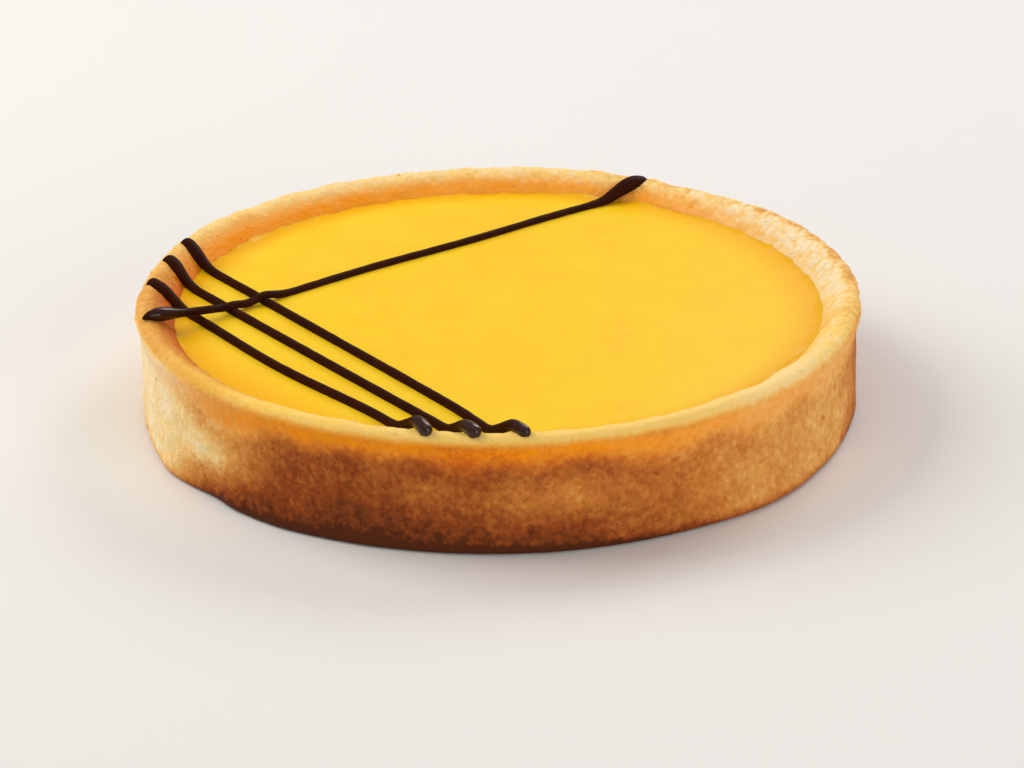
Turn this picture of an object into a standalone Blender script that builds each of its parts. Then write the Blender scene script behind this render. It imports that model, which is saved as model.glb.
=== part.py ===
"""Lemon tartlet: a baked shortcrust case, its lemon filling and four piped chocolate lines.

The case and the filling are turned shapes made slightly uneven. The piped lines are tubes laid
over the top, split where the filling meets the case, and each half is fused to what it lies on.
Origin: centre of the underside. +Z is up, and -Y is the side where three of the lines end.
"""

import math
from dataclasses import dataclass

import bmesh
import bpy
from mathutils import Vector, noise

MM = 0.001

# Case: driving sizes.
LIP_RADIUS = 50.0 * MM
RIM_HEIGHT = 16.8 * MM
BASE_THICKNESS = 3.4 * MM
FILL_DEPTH_BELOW_RIM = 2.75 * MM
WALL_AT_FILLING = 5.25 * MM

# Case: profile, in from the lip and down from the crest.
CREST_INSET = 1.15 * MM
LIP_DROP = 1.4 * MM
NECK_INSET = 0.5 * MM
NECK_DROP = 4.0 * MM
FOOT_INSET = 0.3 * MM
FOOT_ROUNDING = 1.0 * MM
INNER_DRAFT = 0.6 * MM
INNER_FILLET = 2.2 * MM

# Case: worked out from the sizes above.
FILL_LEVEL = RIM_HEIGHT - FILL_DEPTH_BELOW_RIM
INNER_EDGE_RADIUS = LIP_RADIUS - WALL_AT_FILLING
CREST_RADIUS = LIP_RADIUS - CREST_INSET
LIP_HEIGHT = RIM_HEIGHT - LIP_DROP
NECK_RADIUS = LIP_RADIUS - NECK_INSET
NECK_HEIGHT = RIM_HEIGHT - NECK_DROP
FOOT_RADIUS = LIP_RADIUS - FOOT_INSET
FLAT_RADIUS = FOOT_RADIUS - FOOT_ROUNDING

# Filling.
GAP = 0.3 * MM
CLING_HEIGHT = 0.2 * MM
CLING_WIDTH = 1.2 * MM

# How far the baked case strays from a true turned shape: (azimuth in degrees, width, amount).
RIM_RISES = ((152.0, 13.0, 0.35 * MM), (55.0, 20.0, -0.35 * MM), (285.0, 24.0, -0.12 * MM))
LIP_SWELLS = ((2.0, 9.0, 0.15 * MM), (183.0, 10.0, 0.2 * MM), (27.0, 8.0, 0.3 * MM))
FOOT_SWELLS = (
    (316.0, 13.0, 0.9 * MM),
    (264.0, 16.0, -0.15 * MM),
    (207.0, 6.0, 0.6 * MM),
    (219.0, 4.0, -0.5 * MM),
    (234.0, 9.0, 0.3 * MM),
    (90.0, 30.0, 0.3 * MM),
)
FOOT_SWELL_REACH = 8.8 * MM

# Slow waviness of every radius: (lobes round the case, phase, amount).
WALL_WAVES = ((2.0, 0.6, 0.1 * MM), (5.0, 2.1, 0.06 * MM))

# Baked crumb and filling relief: (size of its features, height).
CRUMB_RELIEF = ((4.5 * MM, 0.2 * MM), (2.25 * MM, 0.12 * MM))
CRUMB_ABOVE_TABLE = 1.2 * MM
CRUMB_PAST_FILLING = 2.0 * MM
FILLING_WAVE = (22.0 * MM, 0.08 * MM)

# Piped lines.
LINE_SPACING = 0.4 * MM
LINE_TOLERANCE = 0.05 * MM
SEAT = 0.45
OVERLAP_LIFT = 0.85 * MM
OVERLAP_REACH = 2.4 * MM
TIP_SHARE = 0.5
FOLD_FROM_TIP = 3.7 * MM
FOLD_WIDTH = 1.9 * MM
FALL_PAST_LIP = 4.0
INSIDE_STOP = 0.7 * MM
OUTSIDE_STOP = -0.4 * MM
SHORTEST_RUN = 3

# Turning.
STEPS = 120
ARC_STEPS = 4
SLOPE_STEPS = 6
WALL_STEPS = 5
LEVEL_STEPS = 5
CLING_STEPS = 2
MERGE = 0.00005
CAP_WELD = 0.00002
SHARP_ANGLE = math.radians(50.0)

# Finishes: (linear colour, roughness, subsurface).
SHORTCRUST = ((0.62, 0.33, 0.12), 0.75, 0.1)
LEMON = ((0.95, 0.56, 0.05), 0.35, 0.2)


@dataclass(frozen=True)
class LineEnd:
    """How a piped line ends.

    It swells to its half-thickness over a reach, fattest at a distance from the tip, and its tip
    is drawn in over a taper. Over its span it hangs straight between what stands highest under
    it. The fold is how far it is raised where it doubles over itself, and the sink how far its
    tip is pressed into the rim, fading over the sink's reach. The bridge is the length over
    which it bridges a hollow corner.
    """

    radius: float
    reach: float = 4.5 * MM
    fattest: float = 0.0
    taper: float = 0.9 * MM
    span: float = 0.0
    fold: float = 0.0
    sink: float = 0.0
    sink_reach: float = 2.4 * MM
    bridge: float = 1.2 * MM


@dataclass(frozen=True)
class PipedLine:
    """One piped line over the top. Its route's plan points are in mm."""

    name: str
    route: tuple
    radius: float
    start: LineEnd
    end: LineEnd


LINES = (
    PipedLine(
        name="long_back",
        route=((-45.0, 18.9), (-40.7, 13.5), (-6.7, -33.8), (-0.8, -43.2), (1.6, -47.0), (3.6, -49.4)),
        radius=0.65 * MM,
        start=LineEnd(1.25 * MM, reach=3.5 * MM, taper=0.5 * MM, sink=1.2 * MM, bridge=3.0 * MM),
        end=LineEnd(0.85 * MM, span=8.5 * MM, fold=0.9 * MM),
    ),
    PipedLine(
        name="long_middle",
        route=((-47.0, 12.7), (-42.6, 6.7), (-12.1, -34.7), (-6.6, -42.4), (-4.4, -46.9), (-2.8, -49.5)),
        radius=0.65 * MM,
        start=LineEnd(1.3 * MM, reach=3.5 * MM, taper=0.5 * MM, sink=1.2 * MM, bridge=3.0 * MM),
        end=LineEnd(0.95 * MM, span=8.5 * MM, fold=0.75 * MM),
    ),
    PipedLine(
        name="long_front",
        route=(
            (-48.7, 4.1),
            (-44.2, -0.1),
            (-29.8, -20.5),
            (-17.1, -35.6),
            (-13.3, -40.9),
            (-9.0, -48.8),
        ),
        radius=0.65 * MM,
        start=LineEnd(1.3 * MM, reach=3.5 * MM, taper=0.5 * MM, sink=1.2 * MM, bridge=3.0 * MM),
        end=LineEnd(0.95 * MM, span=9.0 * MM, fold=0.9 * MM),
    ),
    PipedLine(
        name="cross",
        route=((-48.4, -10.2), (-34.7, 0.9), (-19.0, 13.8), (-2.6, 25.7), (11.0, 36.2), (22.5, 44.1)),
        radius=0.57 * MM,
        start=LineEnd(
            1.0 * MM, reach=2.4 * MM, fattest=3.0 * MM, taper=2.6 * MM, span=14.0 * MM, fold=0.5 * MM
        ),
        end=LineEnd(1.35 * MM, reach=6.5 * MM, span=8.0 * MM, sink=1.7 * MM),
    ),
)


def ease(value):
    """Smooth step from 0 to 1."""
    value = min(max(value, 0.0), 1.0)
    return value * value * (3.0 - 2.0 * value)


def swell(azimuth, bumps):
    """Sum of rounded bumps around the case at this azimuth, in radians."""
    total = 0.0
    for centre, width, amount in bumps:
        turn = math.degrees(azimuth) - centre
        turn = (turn + 180.0) % 360.0 - 180.0
        total += amount * math.exp(-((turn / width) ** 2))
    return total


def wall_wave(azimuth):
    """Slow waviness of every radius, the same for the case and the filling."""
    return sum(amount * math.sin(lobes * azimuth + phase) for lobes, phase, amount in WALL_WAVES)


def rim_weight(height):
    """0 at the filling's level and below, 1 at the crest."""
    return ease((height - FILL_LEVEL) / (RIM_HEIGHT - FILL_LEVEL))


def filling_wave(x, y):
    """Slow rise and fall of the set filling's top."""
    size, height = FILLING_WAVE
    return height * noise.noise(Vector((x, y, 0.0)) / size)


def uneven(point):
    """Moves a point of the true turned case or filling to its place in the baked one."""
    radius = math.hypot(point.x, point.y)
    if radius < MERGE:
        return point
    azimuth = math.atan2(point.y, point.x)
    out = wall_wave(azimuth) * radius / LIP_RADIUS
    if radius > INNER_EDGE_RADIUS:
        lip = ease((point.z - NECK_HEIGHT) / (LIP_HEIGHT - NECK_HEIGHT))
        across = ease((radius - INNER_EDGE_RADIUS) / (CREST_RADIUS - INNER_EDGE_RADIUS))
        out += swell(azimuth, LIP_SWELLS) * lip * across
    if radius > FLAT_RADIUS - MERGE:
        out += swell(azimuth, FOOT_SWELLS) * ease(1.0 - point.z / FOOT_SWELL_REACH)
    scale = (radius + out) / radius
    rise = swell(azimuth, RIM_RISES) * rim_weight(point.z)
    return Vector((point.x * scale, point.y * scale, point.z + rise))


def inner_slope(radius):
    """Height of the true case's inner slope, from the filling's edge up to the crest."""
    part = (radius - INNER_EDGE_RADIUS) / (CREST_RADIUS - INNER_EDGE_RADIUS)
    return FILL_LEVEL + (RIM_HEIGHT - FILL_LEVEL) * math.sin(0.5 * math.pi * min(max(part, 0.0), 1.0))


def outer_fall(radius):
    """Height of the rim outside its crest, down to the lip and steeply on past it."""
    part = min((radius - CREST_RADIUS) / CREST_INSET, 1.0)
    past = max(radius - LIP_RADIUS, 0.0)
    drop = LIP_DROP * (1.0 - math.sqrt(1.0 - part * part))
    return RIM_HEIGHT - drop - FALL_PAST_LIP * past


def top_height(x, y):
    """Height of the uneven top at a place, over the filling or over the case."""
    azimuth = math.atan2(y, x)
    radius = math.hypot(x, y) - wall_wave(azimuth)
    if radius > CREST_RADIUS:
        height = outer_fall(radius)
    else:
        height = inner_slope(radius)
    wave = filling_wave(x, y) * ease((INNER_EDGE_RADIUS - radius) / CLING_WIDTH)
    return height + swell(azimuth, RIM_RISES) * rim_weight(height) + wave


def material(name, finish):
    """Principled material with a plain colour."""
    colour, roughness, subsurface = finish
    made = bpy.data.materials.new(name)
    made.use_nodes = True
    shader = made.node_tree.nodes["Principled BSDF"]
    shader.inputs["Base Color"].default_value = (*colour, 1.0)
    shader.inputs["Roughness"].default_value = roughness
    shader.inputs["Metallic"].default_value = 0.0
    shader.inputs["Subsurface Weight"].default_value = subsurface
    return made


def arc(centre, reach, first, last, steps=ARC_STEPS):
    """Points of an elliptical arc in the profile plane, between two angles in degrees."""
    points = []
    for i in range(steps + 1):
        angle = math.radians(first + (last - first) * i / steps)
        points.append((centre[0] + reach[0] * math.cos(angle), centre[1] + reach[1] * math.sin(angle)))
    return points


def inner_profile(inset):
    """The case's inside from the axis out and up to the filling's level, moved in by an inset."""
    floor = BASE_THICKNESS + inset
    wall = INNER_EDGE_RADIUS - inset
    corner = (wall - INNER_DRAFT - INNER_FILLET, floor + INNER_FILLET)
    return [(0.0, floor)] + arc(corner, (INNER_FILLET, INNER_FILLET), -90.0, 0.0)


def case_profile():
    """Profile of the case: inside bottom, inner wall, rim, outer wall, foot and underside."""
    points = inner_profile(0.0)
    for i in range(SLOPE_STEPS):
        radius = INNER_EDGE_RADIUS + (CREST_RADIUS - INNER_EDGE_RADIUS) * i / SLOPE_STEPS
        points.append((radius, inner_slope(radius)))
    points += arc((CREST_RADIUS, LIP_HEIGHT), (CREST_INSET, LIP_DROP), 90.0, 0.0)
    for i in range(WALL_STEPS):
        part = i / WALL_STEPS
        radius = NECK_RADIUS + (FOOT_RADIUS - NECK_RADIUS) * part
        points.append((radius, NECK_HEIGHT + (FOOT_ROUNDING - NECK_HEIGHT) * part))
    points += arc((FLAT_RADIUS, FOOT_ROUNDING), (FOOT_ROUNDING, FOOT_ROUNDING), 0.0, -90.0)
    points.append((0.0, 0.0))
    return points


def filling_profile():
    """Profile of the filling: level top, the edge that clings to the case, its side and bottom."""
    edge = INNER_EDGE_RADIUS - GAP
    level = edge - CLING_WIDTH
    points = [(level * i / LEVEL_STEPS, FILL_LEVEL) for i in range(LEVEL_STEPS)]
    for i in range(CLING_STEPS + 1):
        part = i / CLING_STEPS
        points.append((level + CLING_WIDTH * part, FILL_LEVEL + CLING_HEIGHT * part ** 2))
    points += reversed(inner_profile(GAP))
    return points


def applied(obj):
    """Replaces an object's mesh by its evaluated one, and drops its modifiers."""
    graph = bpy.context.evaluated_depsgraph_get()
    mesh = bpy.data.meshes.new_from_object(obj.evaluated_get(graph))
    obj.modifiers.clear()
    obj.data = mesh
    mesh.name = obj.name


def turned(name, profile, collection, finish):
    """Solid of revolution about Z from a profile that runs down its outer side."""
    mesh = bpy.data.meshes.new(name)
    edges = [(i, i + 1) for i in range(len(profile) - 1)]
    mesh.from_pydata([(radius, 0.0, height) for radius, height in profile], edges, [])
    obj = bpy.data.objects.new(name, mesh)
    collection.objects.link(obj)
    screw = obj.modifiers.new("Turn", "SCREW")
    screw.steps = STEPS
    screw.render_steps = STEPS
    screw.use_merge_vertices = True
    screw.merge_threshold = MERGE
    applied(obj)
    obj.data.materials.append(finish)
    return obj


def crumb(place):
    """Height of the baked crumb's coarse relief at a place."""
    return sum(height * noise.noise(place / size) for size, height in CRUMB_RELIEF)


def shows_outside(point):
    """How much of the crumb relief a point of the case takes: none where it must stay true."""
    radius = math.hypot(point.x, point.y)
    if radius < INNER_EDGE_RADIUS + MERGE and point.z <= FILL_LEVEL + MERGE:
        return 0.0
    above_table = ease(point.z / CRUMB_ABOVE_TABLE)
    past_filling = ease((radius - INNER_EDGE_RADIUS) / CRUMB_PAST_FILLING)
    return above_table * past_filling


def build_crust(collection):
    """The shortcrust case: turned, made uneven, then given its crumb relief."""
    crust = turned("crust", case_profile(), collection, material("baked_shortcrust", SHORTCRUST))
    normals = [vertex.normal.copy() for vertex in crust.data.vertices]
    for vertex, normal in zip(crust.data.vertices, normals):
        relief = crumb(vertex.co) * shows_outside(vertex.co)
        vertex.co = uneven(vertex.co) + normal * relief
    return crust


def build_filling(collection):
    """The set lemon filling, with a slow wave over its top."""
    filling = turned("filling", filling_profile(), collection, material("lemon_filling", LEMON))
    for vertex in filling.data.vertices:
        moved = uneven(vertex.co)
        if vertex.co.z > FILL_LEVEL - MERGE:
            moved.z += filling_wave(moved.x, moved.y)
        vertex.co = moved
    return filling


def smooth_path(points):
    """Plan points close together on a smooth curve through the given ones, in metres."""
    knots = [Vector(point) * MM for point in points]
    knots.insert(0, 2.0 * knots[0] - knots[1])
    knots.append(2.0 * knots[-1] - knots[-2])
    path = []
    for before, start, end, after in zip(knots, knots[1:], knots[2:], knots[3:]):
        span = end - start
        leave = (end - before).normalized() * span.length
        arrive = (after - start).normalized() * span.length
        bend = 3.0 * span - 2.0 * leave - arrive
        twist = leave + arrive - 2.0 * span
        count = math.ceil(span.length / LINE_SPACING)
        for i in range(count):
            t = i / count
            path.append(start + leave * t + bend * t ** 2 + twist * t ** 3)
    path.append(knots[-2])
    return path


def distances(path):
    """Distance along a path at each of its points."""
    along = [0.0]
    for a, b in zip(path, path[1:]):
        along.append(along[-1] + (b - a).length)
    return along


def thickness(line, from_start, to_end):
    """Half-thickness of a line: its own, swelling near each end and drawn in at the tips."""
    radius = line.radius
    for tip, away in ((line.start, from_start), (line.end, to_end)):
        off = (away - tip.fattest) / tip.reach
        radius += (tip.radius - line.radius) * math.exp(-off * off)
    part = ease(min(from_start / line.start.taper, to_end / line.end.taper))
    return radius * (TIP_SHARE + (1.0 - TIP_SHARE) * part)


def crossing_lift(place, below):
    """How far a line is lifted where it lies over the lines piped before it."""
    lift = 0.0
    for path in below:
        nearest = min((place - point).length for point in path)
        lift = max(lift, OVERLAP_LIFT * math.exp(-((nearest / OVERLAP_REACH) ** 2)))
    return lift


def averaged(heights, reaches):
    """Heights along a line, each replaced by the mean of those within its reach."""
    last = len(heights) - 1
    means = []
    for i, reach in enumerate(reaches):
        side = min(round(reach / LINE_SPACING), i, last - i)
        near = heights[i - side : i + side + 1]
        means.append(sum(near) / len(near))
    return means


def bridged(heights, reaches):
    """Heights of a soft line that spans a hollow corner and follows what stands proud."""
    spanned = [max(pair) for pair in zip(heights, averaged(heights, reaches))]
    return averaged(spanned, [0.5 * reach for reach in reaches])


def taut(heights):
    """Heights of a line that hangs straight between the highest places under it."""
    last = len(heights) - 1
    pulled = list(heights)
    for i in range(last):
        for j in range(i + 1, last + 1):
            rise = (heights[j] - heights[i]) / (j - i)
            for k in range(i + 1, j):
                pulled[k] = max(pulled[k], heights[i] + rise * (k - i))
    return pulled


def near_tip(away, width, lift):
    """A rounded rise or dip that is full at no distance, and fades over a width."""
    return lift * math.exp(-((away / width) ** 2))


def lay_line(line, below):
    """A line laid over the top: its plan path, and its [(centre point, half-thickness)]."""
    path = smooth_path(line.route)
    along = distances(path)
    length = along[-1]
    ends = ((line.start, along), (line.end, [length - s for s in along]))
    heights = [top_height(p.x, p.y) + crossing_lift(p, below) for p in path]
    for tip, away in ends:
        folds = [near_tip(s - FOLD_FROM_TIP, FOLD_WIDTH, tip.fold) for s in away]
        heights = [height + lift for height, lift in zip(heights, folds)]
    first = sum(s < line.start.span for s in along)
    last = sum(s <= length - line.end.span for s in along)
    heights = taut(heights[:first]) + heights[first:last] + taut(heights[last:])
    change = line.end.bridge - line.start.bridge
    heights = bridged(heights, [line.start.bridge + change * ease(s / length) for s in along])
    laid = []
    for place, s, height in zip(path, along, heights):
        radius = thickness(line, s, length - s)
        pressed = near_tip(s, line.start.sink_reach, line.start.sink)
        pressed += near_tip(length - s, line.end.sink_reach, line.end.sink)
        laid.append((Vector((place.x, place.y, height + SEAT * radius - pressed)), radius))
    return path, laid


def thinned(laid):
    """The points of a line where it bends or swells: the rest lie within a tolerance of them."""
    first, last = Vector((*laid[0][0], laid[0][1])), Vector((*laid[-1][0], laid[-1][1]))
    off = []
    for i, (place, radius) in enumerate(laid):
        chord = first.lerp(last, i / (len(laid) - 1))
        off.append((Vector((*place, radius)) - chord).length)
    worst = max(range(len(laid)), key=off.__getitem__)
    if off[worst] < LINE_TOLERANCE:
        return [laid[0], laid[-1]]
    return thinned(laid[: worst + 1])[:-1] + thinned(laid[worst:])


def inside_edge(point):
    """How far a plan point is inside the filling's edge: negative out on the case."""
    azimuth = math.atan2(point.y, point.x)
    return INNER_EDGE_RADIUS + wall_wave(azimuth) - math.hypot(point.x, point.y)


def between(a, b, wanted):
    """Where a line comes to a wanted distance inside the filling's edge, between two points."""
    part = (wanted - inside_edge(a[0])) / (inside_edge(b[0]) - inside_edge(a[0]))
    return a[0].lerp(b[0], part), a[1] + (b[1] - a[1]) * part


def runs(laid, keeps, limit):
    """Stretches of a line on one side of a limit, each ended exactly at the limit."""
    found = []
    current = []
    for before, here in zip([None] + laid, laid):
        if before and keeps(before) != keeps(here):
            cut = between(before, here, limit)
            current.append(cut)
            if keeps(before):
                found.append(current)
                current = []
        if keeps(here):
            current.append(here)
    if current:
        found.append(current)
    return [run for run in found if len(run) >= SHORTEST_RUN]


def tube(name, run, collection):
    """Mesh tube with closed ends along a run of centre points and radii."""
    curve = bpy.data.curves.new(name, "CURVE")
    curve.dimensions = "3D"
    curve.bevel_depth = 1.0
    curve.bevel_resolution = 2
    curve.use_fill_caps = True
    spline = curve.splines.new("POLY")
    spline.points.add(len(run) - 1)
    for target, (place, radius) in zip(spline.points, run):
        target.co = (*place, 1.0)
        target.radius = radius
    guide = bpy.data.objects.new(name, curve)
    collection.objects.link(guide)
    graph = bpy.context.evaluated_depsgraph_get()
    mesh = bpy.data.meshes.new_from_object(guide.evaluated_get(graph))
    weld_caps(mesh)
    obj = bpy.data.objects.new(name + "_tube", mesh)
    collection.objects.link(obj)
    bpy.data.objects.remove(guide)
    return obj


def weld_caps(mesh):
    """Joins a tube's loose end caps to its side."""
    edit = bmesh.new()
    edit.from_mesh(mesh)
    bmesh.ops.remove_doubles(edit, verts=edit.verts, dist=CAP_WELD)
    bmesh.ops.recalc_face_normals(edit, faces=edit.faces)
    edit.to_mesh(mesh)
    edit.free()


def fuse(target, collection):
    """Joins every tube of a collection to the target, and removes them."""
    join = target.modifiers.new("Lines", "BOOLEAN")
    join.operation = "UNION"
    join.operand_type = "COLLECTION"
    join.collection = collection
    join.solver = "EXACT"
    applied(target)
    for obj in list(collection.objects):
        bpy.data.objects.remove(obj)
    bpy.data.collections.remove(collection)


def pipe_lines(crust, filling):
    """Lays the lines in the order they were piped, and fuses each stretch to what carries it."""
    on_filling = bpy.data.collections.new("lines_on_filling")
    on_crust = bpy.data.collections.new("lines_on_crust")
    for group in (on_filling, on_crust):
        bpy.context.scene.collection.children.link(group)
    below = []
    for line in LINES:
        path, laid = lay_line(line, below)
        below.append(path)
        inner = runs(laid, lambda p: inside_edge(p[0]) > INSIDE_STOP, INSIDE_STOP)
        outer = runs(laid, lambda p: inside_edge(p[0]) < OUTSIDE_STOP, OUTSIDE_STOP)
        for i, run in enumerate(inner):
            tube(f"{line.name}_in_{i}", thinned(run), on_filling)
        for i, run in enumerate(outer):
            tube(f"{line.name}_out_{i}", thinned(run), on_crust)
    fuse(filling, on_filling)
    fuse(crust, on_crust)


def clear_scene():
    """Removes whatever the scene holds."""
    for obj in list(bpy.data.objects):
        bpy.data.objects.remove(obj)


def main():
    """Builds the tartlet."""
    clear_scene()
    collection = bpy.data.collections.new("lemon_tartlet")
    bpy.context.scene.collection.children.link(collection)
    crust = build_crust(collection)
    filling = build_filling(collection)
    pipe_lines(crust, filling)
    for obj in (crust, filling):
        obj.data.shade_smooth()
        obj.data.set_sharp_from_angle(angle=SHARP_ANGLE)


main()
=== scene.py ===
"""Looks of the lemon tartlet: its baked case, lemon filling, piped chocolate lines and crumbs.

Each piece is worked out from the same named sizes as the solids it stands for, in metres. The
origin is the centre of the underside, +Z is up, and -Y is the side where three lines end.
"""

import logging
import math
from collections.abc import Sequence
from dataclasses import dataclass
from enum import Enum
from typing import Any

import bpy
import numpy as np
from mathutils import Matrix, Vector, noise

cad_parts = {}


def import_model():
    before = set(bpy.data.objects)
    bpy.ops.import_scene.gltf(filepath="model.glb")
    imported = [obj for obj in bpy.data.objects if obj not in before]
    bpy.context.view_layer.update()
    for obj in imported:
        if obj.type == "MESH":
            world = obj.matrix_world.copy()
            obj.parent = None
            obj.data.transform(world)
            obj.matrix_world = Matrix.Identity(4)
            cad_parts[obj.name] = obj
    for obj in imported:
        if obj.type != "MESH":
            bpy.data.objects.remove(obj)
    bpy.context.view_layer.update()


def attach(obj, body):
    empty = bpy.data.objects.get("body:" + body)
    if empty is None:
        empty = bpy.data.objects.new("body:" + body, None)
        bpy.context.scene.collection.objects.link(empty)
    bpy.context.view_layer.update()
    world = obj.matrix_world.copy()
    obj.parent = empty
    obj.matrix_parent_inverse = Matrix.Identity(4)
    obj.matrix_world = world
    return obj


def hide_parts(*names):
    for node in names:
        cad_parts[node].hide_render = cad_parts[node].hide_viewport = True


MM = 0.001
BODY = "root"
NODE_SPACING = 180.0

# Steps of the rounded inner corner, which the case and the filling share.
CORNER_STEPS = 4

# A length too small to see, for telling lengths apart.
HAIR = 0.05 * MM

# The standard curve of display colours.
TOE_END = 0.04045
TOE_SLOPE = 12.92
CURVE_OFFSET = 0.055
CURVE_POWER = 2.4

# Values round the case, as (azimuth in degrees, value) pairs.
Keys = tuple[tuple[float, float], ...]

log = logging.getLogger("lemon_tartlet")


class Slot(Enum):
    """Material slots of the record."""

    SHORTCRUST = "shortcrust"
    LEMON = "lemon_filling"
    CHOCOLATE = "chocolate"


class Part(Enum):
    """Solids of the frame."""

    CRUST = "crust"
    FILLING = "filling"


class Mark(Enum):
    """Values that a mesh carries at each vertex, for its Geometry Nodes and its material."""

    BAKE = "bake"
    GOLD = "gold"
    BUTTER = "butter"
    ROUGHEN = "roughen"
    RELIEF = "relief"
    CRUMBS = "crumbs"
    EDGE_TINT_AND_SHADE = "edge_tint_and_shade"
    RADIUS = "line_radius"
    GLOSS = "gloss"


def linear(red: float, green: float, blue: float) -> tuple[float, float, float, float]:
    """Scene-linear colour of a display colour.

    Args:
        red: Red, 0 to 255.
        green: Green, 0 to 255.
        blue: Blue, 0 to 255.

    Returns:
        Linear red, green and blue, and an alpha of 1.
    """
    channels = []
    for value in (red, green, blue):
        share = value / 255.0
        curve = ((share + CURVE_OFFSET) / (1.0 + CURVE_OFFSET)) ** CURVE_POWER
        channels.append(share / TOE_SLOPE if share <= TOE_END else curve)
    return (*channels, 1.0)


def ease(value: Any) -> Any:
    """Smooth step from 0 to 1, of a number or an array."""
    value = np.clip(value, 0.0, 1.0)
    return value * value * (3.0 - 2.0 * value)


def bell(away: Any, reach: Any) -> Any:
    """1 in the middle, and falling smoothly over a reach on each side."""
    return np.exp(-((away / reach) ** 2))


def degrees_from(azimuth: np.ndarray, middle: float) -> np.ndarray:
    """How far azimuths in radians lie from one in degrees, from -180 to 180 degrees."""
    return (np.degrees(azimuth) - middle + 180.0) % 360.0 - 180.0


def turned_places(radius: Any, azimuth: np.ndarray, height: Any) -> np.ndarray:
    """Places at some radii, azimuths in radians and heights."""
    return np.stack([radius * np.cos(azimuth), radius * np.sin(azimuth), height], axis=-1)


def around(azimuth: np.ndarray, keys: Keys) -> np.ndarray:
    """Value round the case, from its values at a few azimuths.

    Args:
        azimuth: Azimuths in radians.
        keys: Its values.

    Returns:
        The value at each azimuth.
    """
    places, values = zip(*keys)
    return np.interp(np.degrees(azimuth), places, values, period=360.0)


@dataclass(frozen=True)
class Bump:
    """A rounded rise or dip at one azimuth.

    Args:
        azimuth: Where it is, in degrees.
        width: How far it reaches each way, in degrees.
        amount: Its height, in metres.
    """

    azimuth: float
    width: float
    amount: float


def swell(azimuth: np.ndarray, bumps: Sequence[Bump]) -> np.ndarray:
    """Sum of rounded bumps round the case.

    Args:
        azimuth: Azimuths in radians.
        bumps: The bumps.

    Returns:
        Their summed height at each azimuth.
    """
    total = np.zeros_like(azimuth)
    for bump in bumps:
        total = total + bump.amount * bell(degrees_from(azimuth, bump.azimuth), bump.width)
    return total


def perlin(places: np.ndarray, size: float) -> np.ndarray:
    """Smooth noise at some places.

    Args:
        places: An array of points, one a row.
        size: Size of the noise's features, in metres.

    Returns:
        One value for each point, about -0.7 to 0.7.
    """
    return np.array([noise.noise(Vector(place) / size) for place in places])


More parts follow.
